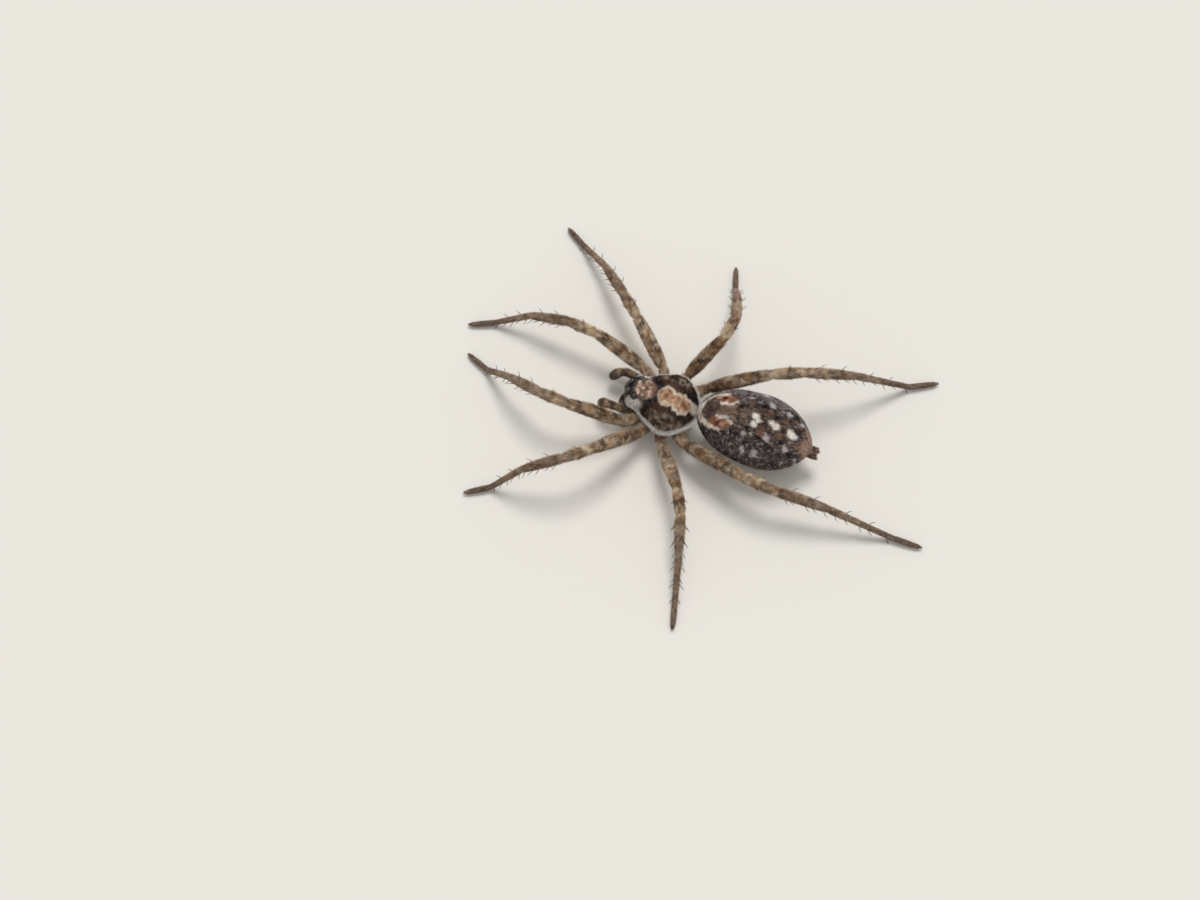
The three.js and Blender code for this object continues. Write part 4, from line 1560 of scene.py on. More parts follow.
def spinneret_colours(points: Array) -> Array:
    """The spinnerets' colours: pinkish brown with darker flecks."""
    return Paint.ground(points, "#94786a").mottle("#4b3a31", 0.8, 0.14, 55, 0.45, 0.65).values


def palp_colours(share: Array, points: Array) -> Array:
    """A palp's colours: tan with dark rings, and a dark tip.

    Args:
        share: How far along the palp each point lies.
        points: The places.

    Returns:
        A linear colour for each.
    """
    paint = Paint.ground(points, "#a89072")
    paint.lay("#5d4937", 0.8 * ramp(np.abs((share * 4) % 1 - 0.5), 0.2, 0.4))
    paint.mottle("#33281f", 0.7, 0.2, 51, 0.55, 0.7)
    return paint.lay("#4c4038", 0.8 * ramp(share, 0.7, 0.85)).values


def trunk_colours(points: Array) -> Array:
    """The colours between the hips and underneath: dark grey-brown with paler flecks."""
    paint = Paint.ground(points, "#4a3e35").mottle("#2a221c", 1.0, 0.3, 61, 0.45, 0.65)
    return paint.mottle("#86775f", 0.6, 0.2, 62, 0.6, 0.78).values


def jaw_colours(points: Array) -> Array:
    """A jaw's colours: dark brown, and reddish towards the fang."""
    paint = Paint.ground(points, "#4a2e20").mottle("#2a1811", 1.0, 0.25, 71, 0.4, 0.7)
    return paint.lay("#7a4b30", 0.6 * ramp(points[:, 2], 0.9, 0.5)).values


# ---- Coat ----


# The step of a surface's parameters for its directions, and how many places are drawn for each one kept.
PARAMETER_STEP = 1e-3
DRAWS_PER_ROOT = 8
# How deep a hair's root lies under the skin, and half the size of its patch on the unwrap.
ROOT_DEPTH = 0.02
PATCH = 0.0015


@dataclass
class Roots:
    """Where hairs grow on a surface: parameters, places, normals and the direction along its length."""

    share: Array
    turn: Array
    points: Array
    normals: Array
    along: Array

    @classmethod
    def scattered(cls, surface: Surface, count: int, seed: int, density: Curve | None = None) -> "Roots":
        """Random places, spread evenly by area.

        Shares are drawn closer together towards the ends, as the cosine of a random angle. The directions
        along and around the surface are differences over a small step of each parameter, their cross
        product is the normal, and its length is the area by which a place is kept or dropped.

        Args:
            surface: The surface.
            count: How many places are kept.
            seed: The seed of the random numbers.
            density: A weight for each point, or None for an even cover.

        Returns:
            The places.
        """
        random = np.random.default_rng(seed)
        half_step = PARAMETER_STEP / 2
        stage = random.uniform(0.01, 0.99, count * DRAWS_PER_ROOT)
        turn = random.uniform(0, 1, count * DRAWS_PER_ROOT)
        moves = (0, -half_step, half_step)
        share, before, after = ((1 - np.cos(np.pi * (stage + move))) / 2 for move in moves)
        ahead = surface.at(after, turn) - surface.at(before, turn)
        around = surface.at(share, turn + half_step) - surface.at(share, turn - half_step)
        points = surface.at(share, turn)
        across = np.cross(ahead, around)
        weight = np.linalg.norm(across, axis=1)
        if density is not None:
            weight = weight * density(points)
        rank = -np.log(random.uniform(1e-9, 1, len(weight))) / np.maximum(weight, 1e-15)
        order = np.argsort(rank)[:count]
        normals = unit(across[order])
        centre = surface.at(share[order], turn[order] + 0.5)
        flipped = np.einsum("ij,ij->i", normals, points[order] - centre) < 0
        normals[flipped] *= -1
        return cls(share[order], turn[order], points[order], normals, unit(ahead[order]))

    def kept(self, mask: Array) -> "Roots":
        """Only the places where the mask is true."""
        return Roots(*(values[mask] for values in vars(self).values()))

    def chart(
        self,
        column: int = 0,
        columns: int = 1,
        margin: float = 0.01,
        rows: tuple[float, float] = (0.01, 0.99),
    ) -> Array:
        """The places of the hairs' patches on the unwrap.

        Args:
            column: Which upright column of the unwrap they lie in, with the turn across it.
            columns: How many columns the unwrap has.
            margin: The empty share on each side of the column.
            rows: Where the share of the surface's length runs up the column, from 0 and to 1.

        Returns:
            One place for each hair.
        """
        across = (column + margin + (1 - 2 * margin) * self.turn) / columns
        return np.stack([across, rows[0] + (rows[1] - rows[0]) * self.share], axis=-1)


@dataclass
class Tufts:
    """A set of thin closed tufts, each with its place, its direction, its size, its colour and its chart."""

    roots: Array
    directions: Array
    normals: Array
    lengths: Array
    widths: Array
    colours: Array
    charts: Array

    @classmethod
    def joined(cls, sets: Iterable["Tufts"]) -> "Tufts":
        """Several sets as one."""
        return cls(*(np.concatenate(columns) for columns in zip(*(vars(one).values() for one in sets))))

    def piece(self, name: str, slot: str, material: Material) -> Object:
        """The tufts as one piece of slim four-sided darts.

        A dart has three corners at its root, set in a flat triangle across its direction, and one at its
        tip, at root + length times direction. Its patch on the chart has the same four corners.

        Args:
            name: The piece's name.
            slot: Not used.
            material: Its material.

        Returns:
            The object.
        """
        count = len(self.roots)
        sideways = unit(np.cross(self.directions, self.normals))
        half = self.widths[:, None] / 2
        base = self.roots - ROOT_DEPTH * self.normals
        corners = np.stack(
            [
                base + half * sideways,
                base - half * sideways,
                base + 0.9 * half * np.cross(sideways, self.directions),
                self.roots + self.lengths[:, None] * self.directions,
            ],
            axis=1,
        )
        corners[..., 2] = np.clip(corners[..., 2], FLOOR_GAP, COAT_CEILING)
        pattern = np.array([[0, 3, 2], [2, 3, 1], [1, 3, 0], [0, 2, 1]])
        a, b, c = (corners[:1, pattern[:, corner]].reshape(-1, 3) for corner in range(3))
        if np.einsum("ij,ij->", a - corners[0].mean(0), np.cross(b - a, c - a)) < 0:
            pattern = pattern[:, ::-1]
        triangles = (4 * np.arange(count)[:, None, None] + pattern).reshape(-1, 3)
        mesh = Shell(corners.reshape(-1, 3), triangles).to_mesh(name)
        set_colours(mesh, np.repeat(self.colours, 4, axis=0))
        patch = PATCH * np.array([[-1, -1], [1, -1], [0, -0.4], [0, 1]])
        chart = (self.charts[:, None, :] + patch).reshape(-1, 2)
        layer = mesh.uv_layers.new(name="OFBake")
        layer.data.foreach_set("uv", chart[triangles.ravel()].astype(np.float32).ravel())
        return place_piece(mesh, name, material, smooth=False)


@dataclass(frozen=True)
class Growth:
    """A kind of hair: its mean length and width in millimetres, and its mean lift off the skin.

    Stray is how far hairs turn aside, as a share of the heading. Shade is how much lighter or darker one
    may be than the markings, and pale is the share of them that is pale grey, whatever the markings.
    """

    length: float | Array
    width: float
    lift_deg: float | Array
    stray: float = 0.35
    shade: float = 0.25
    pale: float = 0.06

    def towards(self, other: "Growth", share: Array) -> "Growth":
        """This kind of hair, with the length and the lift of the other one where the share is 1."""
        length = self.length + (other.length - self.length) * share
        return replace(self, length=length, lift_deg=self.lift_deg + (other.lift_deg - self.lift_deg) * share)

    def on(
        self,
        roots: Roots,
        colours: Array,
        charts: Array,
        seed: int,
        heading: Array | None = None,
    ) -> Tufts:
        """Tufts on their roots, whose lengths, widths and shades vary from one to the next.

        Args:
            roots: Where the tufts grow.
            colours: Their colours.
            charts: The places of their patches on the unwrap.
            seed: The seed of the random numbers.
            heading: The direction in the surface that they lie along, or None for along its length.

        Returns:
            The tufts.
        """
        random = np.random.default_rng(seed)
        count = len(roots.points)
        heading = roots.along if heading is None else heading
        own = Paint(roots.points, colours * np.exp(random.normal(0, self.shade, (count, 1))))
        own.lay("#c9bfba", 0.8 * (random.random(count) < self.pale))
        across = np.cross(roots.normals, heading)
        flat = unit(heading + self.stray * random.normal(0, 1, (count, 1)) * across)
        lift = np.clip(random.normal(self.lift_deg, self.lift_deg * 0.45, count), 2, 80)
        lift = np.radians(lift)[:, None]
        return Tufts(
            roots=roots.points,
            directions=unit(np.cos(lift) * flat + np.sin(lift) * roots.normals),
            normals=roots.normals,
            lengths=self.length * random.uniform(0.65, 1.3, count),
            widths=self.width * random.uniform(0.7, 1.3, count),
            colours=own.values,
            charts=charts,
        )


# ---- Pieces ----


@dataclass
class Skin:
    """The one skin over the abdomen, the waist, the hips, the legs and the palps.

    Every form is laid inside its CAD solid by the coat's depth, the forms are grown together by a voxel
    remesh, and the skin then gets its folds and its markings.
    """

    voxel: float = 0.068
    rows_per_mm: float = 9.0
    abdomen_reach: float = 0.3
    leg_reach: float = 0.16
    palp_reach: float = 0.12
    search: float = 0.6
    dimple_depth: float = 0.07
    fold_depth: float = 0.03
    fold_spacing: float = 0.42

    def forms(self) -> list[Shell]:
        """The closed shells that the skin is grown from.

        Returns:
            The shells.
        """
        waist = rod([(0, -0.4, 1.74), (0, 0.2, 1.8), (0, 0.8, 1.88)], [(0, 0.23), (1, 0.23)])
        lip = rod([(0, -3.4, 1.28), (0, -3.9, 1.05)], [(0, 0.17), (1, 0.15)], 0.01, wide=1.6)
        shells = [
            Shell.closed(abdomen_form(BODY_COAT), 90, 96),
            Shell.closed(sternum_form(PLATE_COAT), 40, 48),
            Shell.closed(flank_form(), 40, 48),
            Shell.closed(waist, 24, 24),
            Shell.closed(lip, 16, 20),
        ]
        for limb in (leg.limb(LEG_COAT) for leg in LEGS):
            shells.append(Shell.closed(limb, int(limb.length * self.rows_per_mm), 20))
        for side in Side:
            shells.append(Shell.closed(palp(side, LEG_COAT), 40, 20))
            plate = mirrored([(0.5, -3.4, 1.34), (0.4, -3.82, 1.15), (0.3, -4.12, 1.0)], side)
            shells.append(Shell.closed(rod(plate, [(0, 0.2), (0.5, 0.27), (1, 0.18)], 0.01), 20, 20))
        return shells + [Shell.closed(limb, 20, 20) for limb in spinneret_limbs()]

    def regions(self, corners: Array) -> Array:
        """The colours of the skin, by the form that each corner lies nearest to.

        Args:
            corners: The places of the skin's corners.

        Returns:
            A linear colour for each.
        """
        colours = trunk_colours(corners)
        distance = np.maximum(sternum_form().depth_outside(corners), 0.02)
        outside = abdomen_form(BODY_COAT).depth_outside(corners)
        near = np.abs(outside) < self.abdomen_reach
        colours[near] = abdomen_colours(corners[near])
        distance[near] = np.abs(outside[near])
        behind = abdomen_form().to_local(corners)[:, 1] > spinneret_root()[1] + 0.1
        colours[behind] = spinneret_colours(corners[behind])
        limbs = [(leg.limb(LEG_COAT), self.leg_reach, partial(leg_colours, leg)) for leg in LEGS]
        limbs += [(palp(side, LEG_COAT), self.palp_reach, palp_colours) for side in Side]
        for limb, reach, colours_of in limbs:
            low, high = limb.centres.min(0) - self.search, limb.centres.max(0) + self.search
            close = np.flatnonzero(np.all((corners > low) & (corners < high), axis=1))
            outside, share = limb.nearest(corners[close])
            mine = np.abs(outside) < np.minimum(distance[close], reach)
            chosen = close[mine]
            colours[chosen] = colours_of(share[mine], corners[chosen])
            distance[chosen] = np.abs(outside[mine])
        return colours

    def folds(self, corners: Array) -> Array:
        """How far each corner moves out: dimples over the muscles, side folds and a fine unevenness.

        Args:
            corners: The places of the skin's corners.

        Returns:
            A distance for each, outwards.
        """
        x, y, z = abdomen_form().to_local(corners).T
        on_abdomen = abdomen_form(BODY_COAT).depth_outside(corners) < 0.12
        move = 0.035 * (noise(corners, 0.5, 81) - 0.5) + 0.02 * (noise(corners, 0.2, 82) - 0.5)
        for out, back in [(0.62, 1.9), (0.72, 3.15), (0.62, 4.3), (0.5, 5.3)]:
            dimple = bell(np.abs(x) - out, 0.16) * bell(y - back, 0.2)
            move -= self.dimple_depth * dimple * (z > 0) * on_abdomen
        side_zone = ramp(z, 0.7, 0.0) * ramp(z, -1.5, -0.8) * on_abdomen
        wave = np.sin(2 * np.pi * (z / self.fold_spacing + 0.35 * noise(corners, 0.9, 83)))
        return move + self.fold_depth * side_zone * wave

    def build(self) -> Object:
        """Makes the skin and dresses it.

        Returns:
            The piece.
        """
        mesh = remeshed(Shell.joined(self.forms()), self.voxel, "Skin")
        corners = eased(mesh, corner_values(mesh, "co"), 2, 0.5)
        set_corners(mesh, corners)
        corners = corners + corner_values(mesh, "normal") * self.folds(corners)[:, None]
        corners[:, 2] = np.maximum(corners[:, 2], SKIN_FLOOR_GAP)
        set_corners(mesh, corners)
        set_colours(mesh, self.regions(corners))
        soft = ["abdomen", "pedicel", "spinnerets", "sternum", "mouthparts", "palp_left", "palp_right"]
        articles = ["coxa", "femur", "tibia", "metatarsus", "tarsus"]
        nodes = soft + [f"{article}_{leg.name}" for leg in LEGS for article in articles]
        return place_piece(mesh, "Skin", SKIN_CUTICLE.material(), nodes)


@dataclass
class Carapace:
    """The shield over the head and trunk: a thin closed shell with its pit, its grooves and eye mounds."""

    rows: int = 230
    columns: int = 260
    pit_depth: float = 0.1
    neck_depth: float = 0.0585
    groove_depth: float = 0.045
    mound_height: float = 0.3

    def relief(self, points: Array) -> Array:
        """How far each point moves out.

        Every groove is a bell curve of the distance to its line: the pit, the groove behind the head, and
        four grooves on each side that run from the pit towards the hips. Each eye stands on a low mound,
        whose height is a share of the eye's radius.

        Args:
            points: Places on the shield.

        Returns:
            A distance for each, outwards.
        """
        flat = leftwards(points)[:, :2]
        move = -self.pit_depth * bell(distance_to_line(flat, [(0, -1.55), (0, -1.08)]), 0.07)
        neck = distance_to_line(flat, [(0.16, -2.0), (0.62, -2.7), (1.2, -3.3)])
        move -= self.neck_depth * bell(neck, 0.12)
        pit = np.array([0, -1.35])
        for end in np.array([(1.75, -2.6), (1.95, -1.8), (1.75, -0.95), (1.1, -0.35)]):
            groove = distance_to_line(flat, [pit + 0.22 * (end - pit), end])
            move -= self.groove_depth * bell(groove, 0.09)
        for eye in EYES:
            away = eye.radii_away(leftwards(points))
            move += self.mound_height * eye.place(Side.LEFT)[1] * bell(away - 1.05, 0.45)
        return move + 0.02 * (noise(points, 0.3, 31) - 0.5)

    def build(self) -> Object:
        """Makes the shield and dresses it.

        Returns:
            The piece.
        """
        mesh = Shell.closed(carapace_form(PLATE_COAT), self.rows, self.columns).to_mesh("Carapace")
        corners = corner_values(mesh, "co")
        top = ramp(corners[:, 2], CARAPACE_MARGIN, CARAPACE_MARGIN + 0.2)
        corners = corners + corner_values(mesh, "normal") * (self.relief(corners) * top)[:, None]
        set_corners(mesh, corners)
        set_colours(mesh, carapace_colours(corners))
        return place_piece(mesh, "Carapace", SHIELD_CUTICLE.material(), ["carapace"])


@dataclass(frozen=True)
class Eye:
    """One pair of eyes, by the name that its CAD nodes share."""

    name: str

    def place(self, side: Side) -> tuple[Array, float]:
        """The centre and the radius of the eye on one side, from its CAD node's box."""
        low, high = box_in_body(f"{self.name}_{side.word}")
        return (low + high) / 2, float((high - low)[2]) / 2

    def radii_away(self, points: Array, side: Side = Side.LEFT) -> Array:
        """How far points lie from the centre of the eye on one side, in its radii."""
        centre, radius = self.place(side)
        return np.linalg.norm(points - centre, axis=1) / radius

    def build(self, side: Side, material: Material) -> Object:
        """Makes the eye as a ball: an upright rod as long as it is thick.

        Args:
            side: Which eye of the pair.
            material: The lens's material.

        Returns:
            The piece.
        """
        centre, radius = self.place(side)
        line = [centre - radius * UP, centre, centre + radius * UP]
        ball = rod(line, [(0, radius), (1, radius)], upright=(0.0, 1.0, 0.0))
        name = f"{self.name}_{side.word}"
        mesh = Shell.closed(ball, 30, 40).to_mesh(f"Lens_{name}")
        return place_piece(mesh, f"Lens_{name}", material, [name])


EYES = [Eye("eye_front_median"), Eye("eye_front_lateral"), Eye("eye_rear_median"), Eye("eye_rear_lateral")]


@dataclass
class Jaws:
    """The two jaws with their fangs folded under them."""

    rows: int = 60
    columns: int = 64

    def build(self) -> list[Object]:
        """Makes the jaws and the fangs and dresses them.

        Returns:
            The pieces.
        """
        shield, gloss = JAW_CUTICLE.material(), CLAW_GLOSS.material()
        pieces = []
        for side in Side:
            mesh = Shell.closed(jaw(side, PLATE_COAT), self.rows, self.columns).to_mesh("Jaw")
            set_colours(mesh, jaw_colours(corner_values(mesh, "co")))
            pieces.append(place_piece(mesh, f"Jaw_{side.word}", shield, [f"chelicera_{side.word}"]))
            fang = rod(mirrored(FANG_LINE, side), FANG_RADII)
            mesh = Shell.closed(fang, 32, 24).to_mesh("Fang")
            pieces.append(place_piece(mesh, f"Fang_{side.word}", gloss, [f"fang_{side.word}"]))
        return pieces


# The turns at which two rows of spines stand under a leg, and two beside it.
UNDER, BESIDE = (0.62, 0.88), (0.03, 0.47)
# The spines of each article: their length, and the places along it and the turns that they stand at.
SPINES = {
    Article.FEMUR: (0.45, [(0.3, 0.25), (0.55, 0.25), (0.8, 0.22), (0.8, 0.3)]),
    Article.PATELLA: (0.4, [(0.5, 0.02), (0.5, 0.48)]),
    Article.TIBIA: (0.62, [*product((0.22, 0.6, 0.93), UNDER), *product((0.3, 0.7), BESIDE)]),
    Article.METATARSUS: (0.55, [*product((0.12, 0.5, 0.93), UNDER), *product((0.25, 0.62), BESIDE)]),
}


@dataclass
class Armour:
    """The strong spines of the legs, and the two claws at the end of each foot."""

    spine_radius: float = 0.028
    spine_floor: float = 0.03
    claw_radius: float = 0.03
    claw_spread: float = 0.055
    claw_floor: float = 0.02

    def spines(self) -> Shell:
        """All the spines: slim cones that lean towards the foot, in rows under and beside each article.

        Returns:
            All the cones as one mesh.
        """
        shells = []
        for leg in LEGS:
            limb = leg.limb(LEG_COAT)
            for article, (length, places) in SPINES.items():
                low, high = leg.ends[article.value : article.value + 2]
                for place, turn in places:
                    share = np.array([low + place * (high - low)])
                    root = limb.at(share, np.array([turn]))[0]
                    heading, _, _ = limb.axes(share)
                    outward = unit(root - limb.along(limb.centres, share)[0])
                    tip = root + length * unit(0.8 * heading[0] + 0.6 * outward)
                    tip[2] = max(tip[2], self.spine_floor)
                    bend = (root + tip) / 2 + 0.04 * outward
                    spine = rod([root - 0.04 * outward, bend, tip], [(0, 1), (0.5, 0.75), (1, 0.15)])
                    shells.append(Shell.closed(replace(spine, radii=spine.radii * self.spine_radius), 6, 5))
        return Shell.joined(shells)

    def claws(self) -> Shell:
        """The claws: two small hooks on each foot, side by side, curved down to the ground.

        Returns:
            All the hooks as one mesh.
        """
        shells = []
        for leg in LEGS:
            limb = leg.limb(LEG_COAT)
            tip = limb.centres[-1]
            heading, side, upwards = (axis[0] for axis in limb.axes(np.array([1.0])))
            for offset in (-self.claw_spread, self.claw_spread):
                start = tip - 0.12 * heading + offset * side + 0.02 * upwards
                middle = tip + 0.03 * heading + offset * side + 0.03 * upwards
                end = tip + 0.09 * heading + 1.2 * offset * side - 0.1 * upwards
                end[2] = max(end[2], self.claw_floor)
                hook = rod([start, middle, end], [(0, 1), (0.5, 0.8), (1, 0.3)])
                shells.append(Shell.closed(replace(hook, radii=hook.radii * self.claw_radius), 12, 8))
        return Shell.joined(shells)

    def build(self) -> list[Object]:
        """Makes the spines and the claws and dresses them.

        Returns:
            The pieces.
        """
        return [
            place_piece(self.spines().to_mesh("Leg_spines"), "Leg_spines", SPINE_GLOSS.material()),
            place_piece(self.claws().to_mesh("Foot_claws"), "Foot_claws", CLAW_GLOSS.material()),
        ]


@dataclass
class Coat:
    """The hairs of the whole spider, in pieces of fewer than 50,000 tufts."""

    abdomen_tufts: int = 88000
    tufts_per_leg: int = 22000
    usual_leg: float = 15.2
    carapace_tufts: int = 42000
    margin_tufts: int = 3600
    palp_tufts: int = 8000
    jaw_tufts: int = 5500
    sternum_tufts: int = 5000
    spinneret_tufts: int = 620
    abdomen_hair: Growth = Growth(0.2, 0.031, 14, stray=0.3, shade=0.34, pale=0.045)
    spinneret_hair: Growth = Growth(0.13, 0.024, 14)
    thigh_hair: Growth = Growth(0.28, 0.028, 19)
    foot_hair: Growth = Growth(0.14, 0.028, 13)
    face_hair: Growth = Growth(0.09, 0.028, 15, stray=0.4, shade=0.3)
    shield_hair: Growth = Growth(0.21, 0.028, 15, stray=0.4, shade=0.3)
    cheek_fringe: Growth = Growth(0.11, 0.042, 14)
    side_fringe: Growth = Growth(0.3, 0.042, 38)
    palp_hair: Growth = Growth(0.2, 0.028, 22)
    jaw_hair: Growth = Growth(0.16, 0.026, 20)
    sternum_hair: Growth = Growth(0.2, 0.035, 20)
    # How far from a hair's root its colour is taken, which brings each marking to where the hairs show.
    abdomen_shift: float = 0.09
    shield_shift: float = 0.06
    # The bare ring round an eye, in the eye's radii, and the point that the shield's hairs lie towards.
    eye_clearance: float = 1.12
    above_pit: Place = (0.0, -1.3, 2.9)

    def abdomen(self) -> list[Tufts]:
        """Flat hairs that lie towards the tail, those of the upper half and those of the lower half.

        Returns:
            The hairs of the upper half and of the lower half.
        """
        roots = Roots.scattered(abdomen_form(BODY_COAT), self.abdomen_tufts, 101)
        halves = []
        for number, mask in enumerate([roots.turn < 0.5, roots.turn >= 0.5]):
            half = roots.kept(mask)
            colours = abdomen_colours(half.points + self.abdomen_shift * half.along)
            charts = replace(half, turn=2 * (half.turn % 0.5)).chart(rows=(0.01, 0.87))
            halves.append(self.abdomen_hair.on(half, colours, charts, 102 + number))
        return [halves[0], Tufts.joined([halves[1], *self.spinnerets()])]

    def spinnerets(self) -> list[Tufts]:
        """Short brown hairs on the spinnerets, which lie towards their tips.

        Returns:
            A set of hairs for each cone and for the hub.
        """
        sets = []
        for number, limb in enumerate(spinneret_limbs()):
            roots = Roots.scattered(limb, self.spinneret_tufts, 121 + number)
            roots = roots.kept(abdomen_form(BODY_COAT).depth_outside(roots.points) > -0.02)
            charts = roots.chart(number, 7, 0.05, (0.89, 0.99))
            sets.append(self.spinneret_hair.on(roots, spinneret_colours(roots.points), charts, 131 + number))
        return sets

    def leg(self, leg: Leg, column: int) -> Tufts:
        """Hairs that lie towards the foot, shortest on the foot itself.

        Args:
            leg: The leg.
            column: Its column on the unwrap.

        Returns:
            The hairs.
        """
        limb = leg.limb(LEG_COAT)
        seed = 200 + 10 * leg.pair + (5 if leg.side is Side.LEFT else 0)
        roots = Roots.scattered(limb, int(self.tufts_per_leg * (limb.length / self.usual_leg)), seed)
        roots = roots.kept(carapace_form().depth_outside(roots.points) > 0.0)
        hair = self.thigh_hair.towards(self.foot_hair, ramp(roots.share, 0.5, 0.9))
        colours = leg_colours(leg, roots.share, roots.points)
        return hair.on(roots, colours, roots.chart(column, 2, 0.02), seed + 1)

    @staticmethod
    def shield_cover(points: Array) -> Array:
        """How densely hairs grow on the shield: nowhere under its rim, and closest on the face."""
        above_rim = ramp(points[:, 2], CARAPACE_MARGIN - 0.03, CARAPACE_MARGIN + 0.06)
        return above_rim * (1 + 1.6 * ramp(points[:, 1], -3.9, -4.5))

    def carapace(self) -> Tufts:
        """Short hairs over the shield, which lie towards a point above its pit.

        Returns:
            The hairs.
        """
        roots = Roots.scattered(carapace_form(0.02), self.carapace_tufts, 301, self.shield_cover)
        clear = np.ones(len(roots.points), bool)
        for eye, side in product(EYES, Side):
            clear &= eye.radii_away(roots.points, side) > self.eye_clearance
        roots = roots.kept(clear)
        roots.points += roots.normals * Carapace().relief(roots.points)[:, None]
        to_pit = np.array(self.above_pit) - roots.points
        heading = unit(squared_to(to_pit, roots.normals))
        colours = carapace_colours(roots.points + self.shield_shift * heading)
        hair = self.face_hair.towards(self.shield_hair, ramp(roots.points[:, 1], -4.6, -3.4))
        return hair.on(roots, colours, roots.chart(), 302, heading)

    def margin(self) -> Tufts:
        """The pale fringe: hairs along the margin that lie back along it and stand out, least at the head.

        Returns:
            The hairs.
        """
        form, count = carapace_form(0.01), self.margin_tufts
        random = np.random.default_rng(311)
        share = random.uniform(0.01, 0.985, count)
        turn = np.where(random.random(count) < 0.5, 0.0, 0.5) + random.normal(0, 0.012, count)
        points = form.at(share, turn)
        along = unit(form.at(share + PARAMETER_STEP, turn) - form.at(share - PARAMETER_STEP, turn))
        outward = np.sign(points[:, :1]) * [1.0, 0.0, 0.0]
        normals = unit(squared_to(outward, along) + 0.25 * UP)
        roots = Roots(share, turn % 1, points, normals, along)
        colours = Paint.ground(points, "#fffaf4").lay("#b3a69a", random.random(count) * 0.35).values
        hair = self.cheek_fringe.towards(self.side_fringe, ramp(share, 0.1, 0.42))
        return hair.on(roots, colours, roots.chart(), 312)

    def face(self) -> list[Tufts]:
        """Short hairs on the jaws, the palps and the breastplate.

        Returns:
            A set of hairs for each part.
        """
        sets = []
        for column, side in enumerate(Side):
            roots = Roots.scattered(palp(side, LEG_COAT), self.palp_tufts, 401 + column)
            colours = palp_colours(roots.share, roots.points)
            sets.append(self.palp_hair.on(roots, colours, roots.chart(column, 5, 0.02), 411 + column))
            roots = Roots.scattered(jaw(side, PLATE_COAT), self.jaw_tufts, 421 + column)
            roots = roots.kept(carapace_form().depth_outside(roots.points) > 0.0)
            paint = Paint(roots.points, jaw_colours(roots.points)).mottle("#a99a86", 0.5, 0.15, 72, 0.4, 0.7)
            sets.append(self.jaw_hair.on(roots, paint.values, roots.chart(column + 2, 5, 0.02), 431 + column))
        roots = Roots.scattered(sternum_form(PLATE_COAT), self.sternum_tufts, 441)
        roots = roots.kept(roots.points[:, 2] < 1.2)
        sets.append(self.sternum_hair.on(roots, trunk_colours(roots.points), roots.chart(4, 5, 0.02), 442))
        return sets

    def build(self) -> list[Object]:
        """Makes every piece of the coat.

        Returns:
            The pieces.
        """
        upper, lower = self.abdomen()
        pieces = [("Abdomen_hair_upper", "abdomen", upper), ("Abdomen_hair_lower", "abdomen", lower)]
        for side in Side:
            for name, pairs in (("front", (1, 2)), ("rear", (3, 4))):
                legs = [leg for leg in LEGS if leg.side is side and leg.pair in pairs]
                tufts = Tufts.joined(self.leg(leg, column) for column, leg in enumerate(legs))
                pieces.append((f"Leg_hair_{side.word}_{name}", "thighs", tufts))
        pieces.append(("Carapace_hair", "carapace", Tufts.joined([self.carapace(), self.margin()])))
        pieces.append(("Face_hair", "shins", Tufts.joined(self.face())))
        hair = COAT_HAIR.material()
        return [tufts.piece(name, slot, hair) for name, slot, tufts in pieces]


# ---- Stage ----


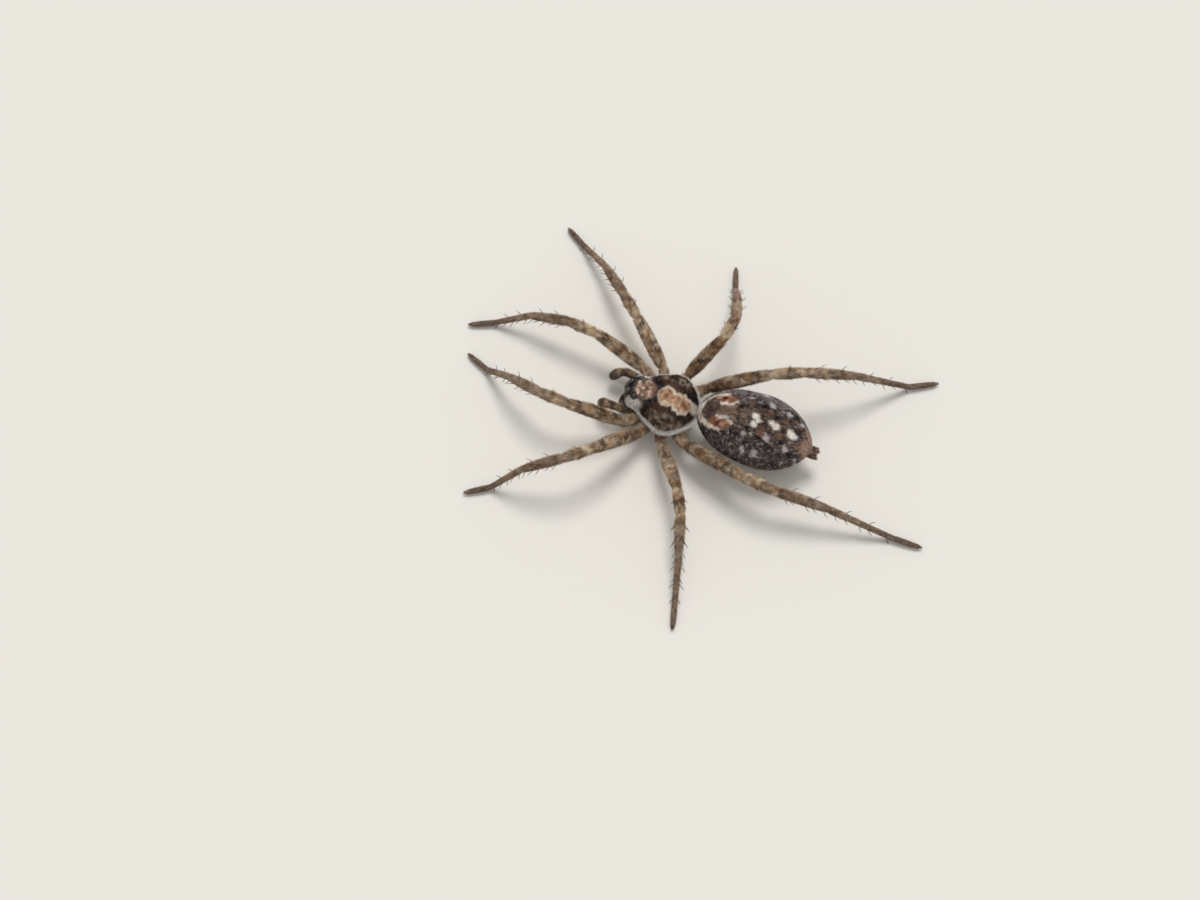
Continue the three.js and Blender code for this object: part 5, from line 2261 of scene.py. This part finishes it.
@dataclass
class Studio:
    """The pale floor, the soft light and the camera."""

    target: Place = (3.7146, -5.1644, 0.0)
    azimuth_deg: float = 111.0
    elevation_deg: float = 66.0
    distance: float = 105.5
    lens: float = 50.0
    floor_reach: float = 3000.0
    world_strength: float = 0.55
    backdrop_strength: float = 0.9
    key_strength: float = 1.7
    key_width_deg: float = 26.0
    key_place: Place = (-0.17, -0.02, 0.3)

    def floor(self) -> None:
        """A wide flat floor just under the feet, like matt card."""
        reach = self.floor_reach * MM
        corners = np.array([[-reach, -reach, 0], [reach, -reach, 0], [reach, reach, 0], [-reach, reach, 0]])
        mesh = Shell(corners, np.array([[0, 1, 2], [0, 2, 3]])).to_mesh("Floor")
        mesh.materials.append(FLOOR_CARD.material())
        link("Floor", mesh)

    def lights(self) -> None:
        """An even sky, with one wide soft light that falls from above and from the spider's right side."""
        world = bpy.data.worlds.new("Studio")
        world.use_nodes = True
        tree = world.node_tree
        tree.nodes.clear()
        rays = add_node(tree, "ShaderNodeLightPath").outputs
        seen = add_node(tree, "ShaderNodeMath", {0: rays["Is Camera Ray"], 1: rays["Is Glossy Ray"]})
        shown = add_node(
            tree, "ShaderNodeMath", {0: seen.outputs["Value"], 1: rays["Is Transmission Ray"]}, use_clamp=True
        )
        limits = {"To Min": self.world_strength, "To Max": self.backdrop_strength}
        strength = add_node(tree, "ShaderNodeMapRange", {"Value": shown.outputs["Value"], **limits})
        white = {"Color": (1.0, 1.0, 1.0, 1.0), "Strength": strength.outputs["Result"]}
        sky = add_node(tree, "ShaderNodeBackground", white)
        add_node(tree, "ShaderNodeOutputWorld", {"Surface": sky.outputs["Background"]})
        bpy.context.scene.world = world
        lamp = bpy.data.lights.new("Key", "SUN")
        lamp.angle = math.radians(self.key_width_deg)
        lamp.energy = self.key_strength
        key = link("Key", lamp)
        key.location = Vector(self.key_place)
        key.rotation_mode = "QUATERNION"
        key.rotation_quaternion = (-key.location).to_track_quat("-Z", "Y")

    def camera(self) -> None:
        """A camera on a line from the target, at its azimuth and elevation."""
        azimuth, elevation = math.radians(self.azimuth_deg), math.radians(self.elevation_deg)
        level = math.cos(elevation)
        back = Vector((math.sin(azimuth) * level, -math.cos(azimuth) * level, math.sin(elevation)))
        lens = bpy.data.cameras.new("Camera")
        lens.lens = self.lens
        lens.sensor_width = 36.0
        lens.clip_start, lens.clip_end = 0.001, 10.0
        camera = link("Camera", lens)
        target = Vector((body_offset() + np.array(self.target)) * MM)
        camera.location = target + back * self.distance * MM
        camera.rotation_mode = "QUATERNION"
        camera.rotation_quaternion = (-back).to_track_quat("-Z", "Y")
        bpy.context.scene.camera = camera

    def build(self) -> None:
        """Sets the whole stage."""
        bpy.context.scene.view_settings.view_transform = "Standard"
        self.floor()
        self.lights()
        self.camera()


def main() -> None:
    """Builds the spider piece by piece, and sets the stage."""
    logging.basicConfig(level=logging.INFO, format="%(name)s %(message)s")
    Studio().build()
    Skin().build()
    Carapace().build()
    lens = EYE_GLOSS.material()
    for eye in EYES:
        for side in Side:
            eye.build(side, lens)
    Jaws().build()
    Armour().build()
    Coat().build()


if __name__ == "__main__":
    main()
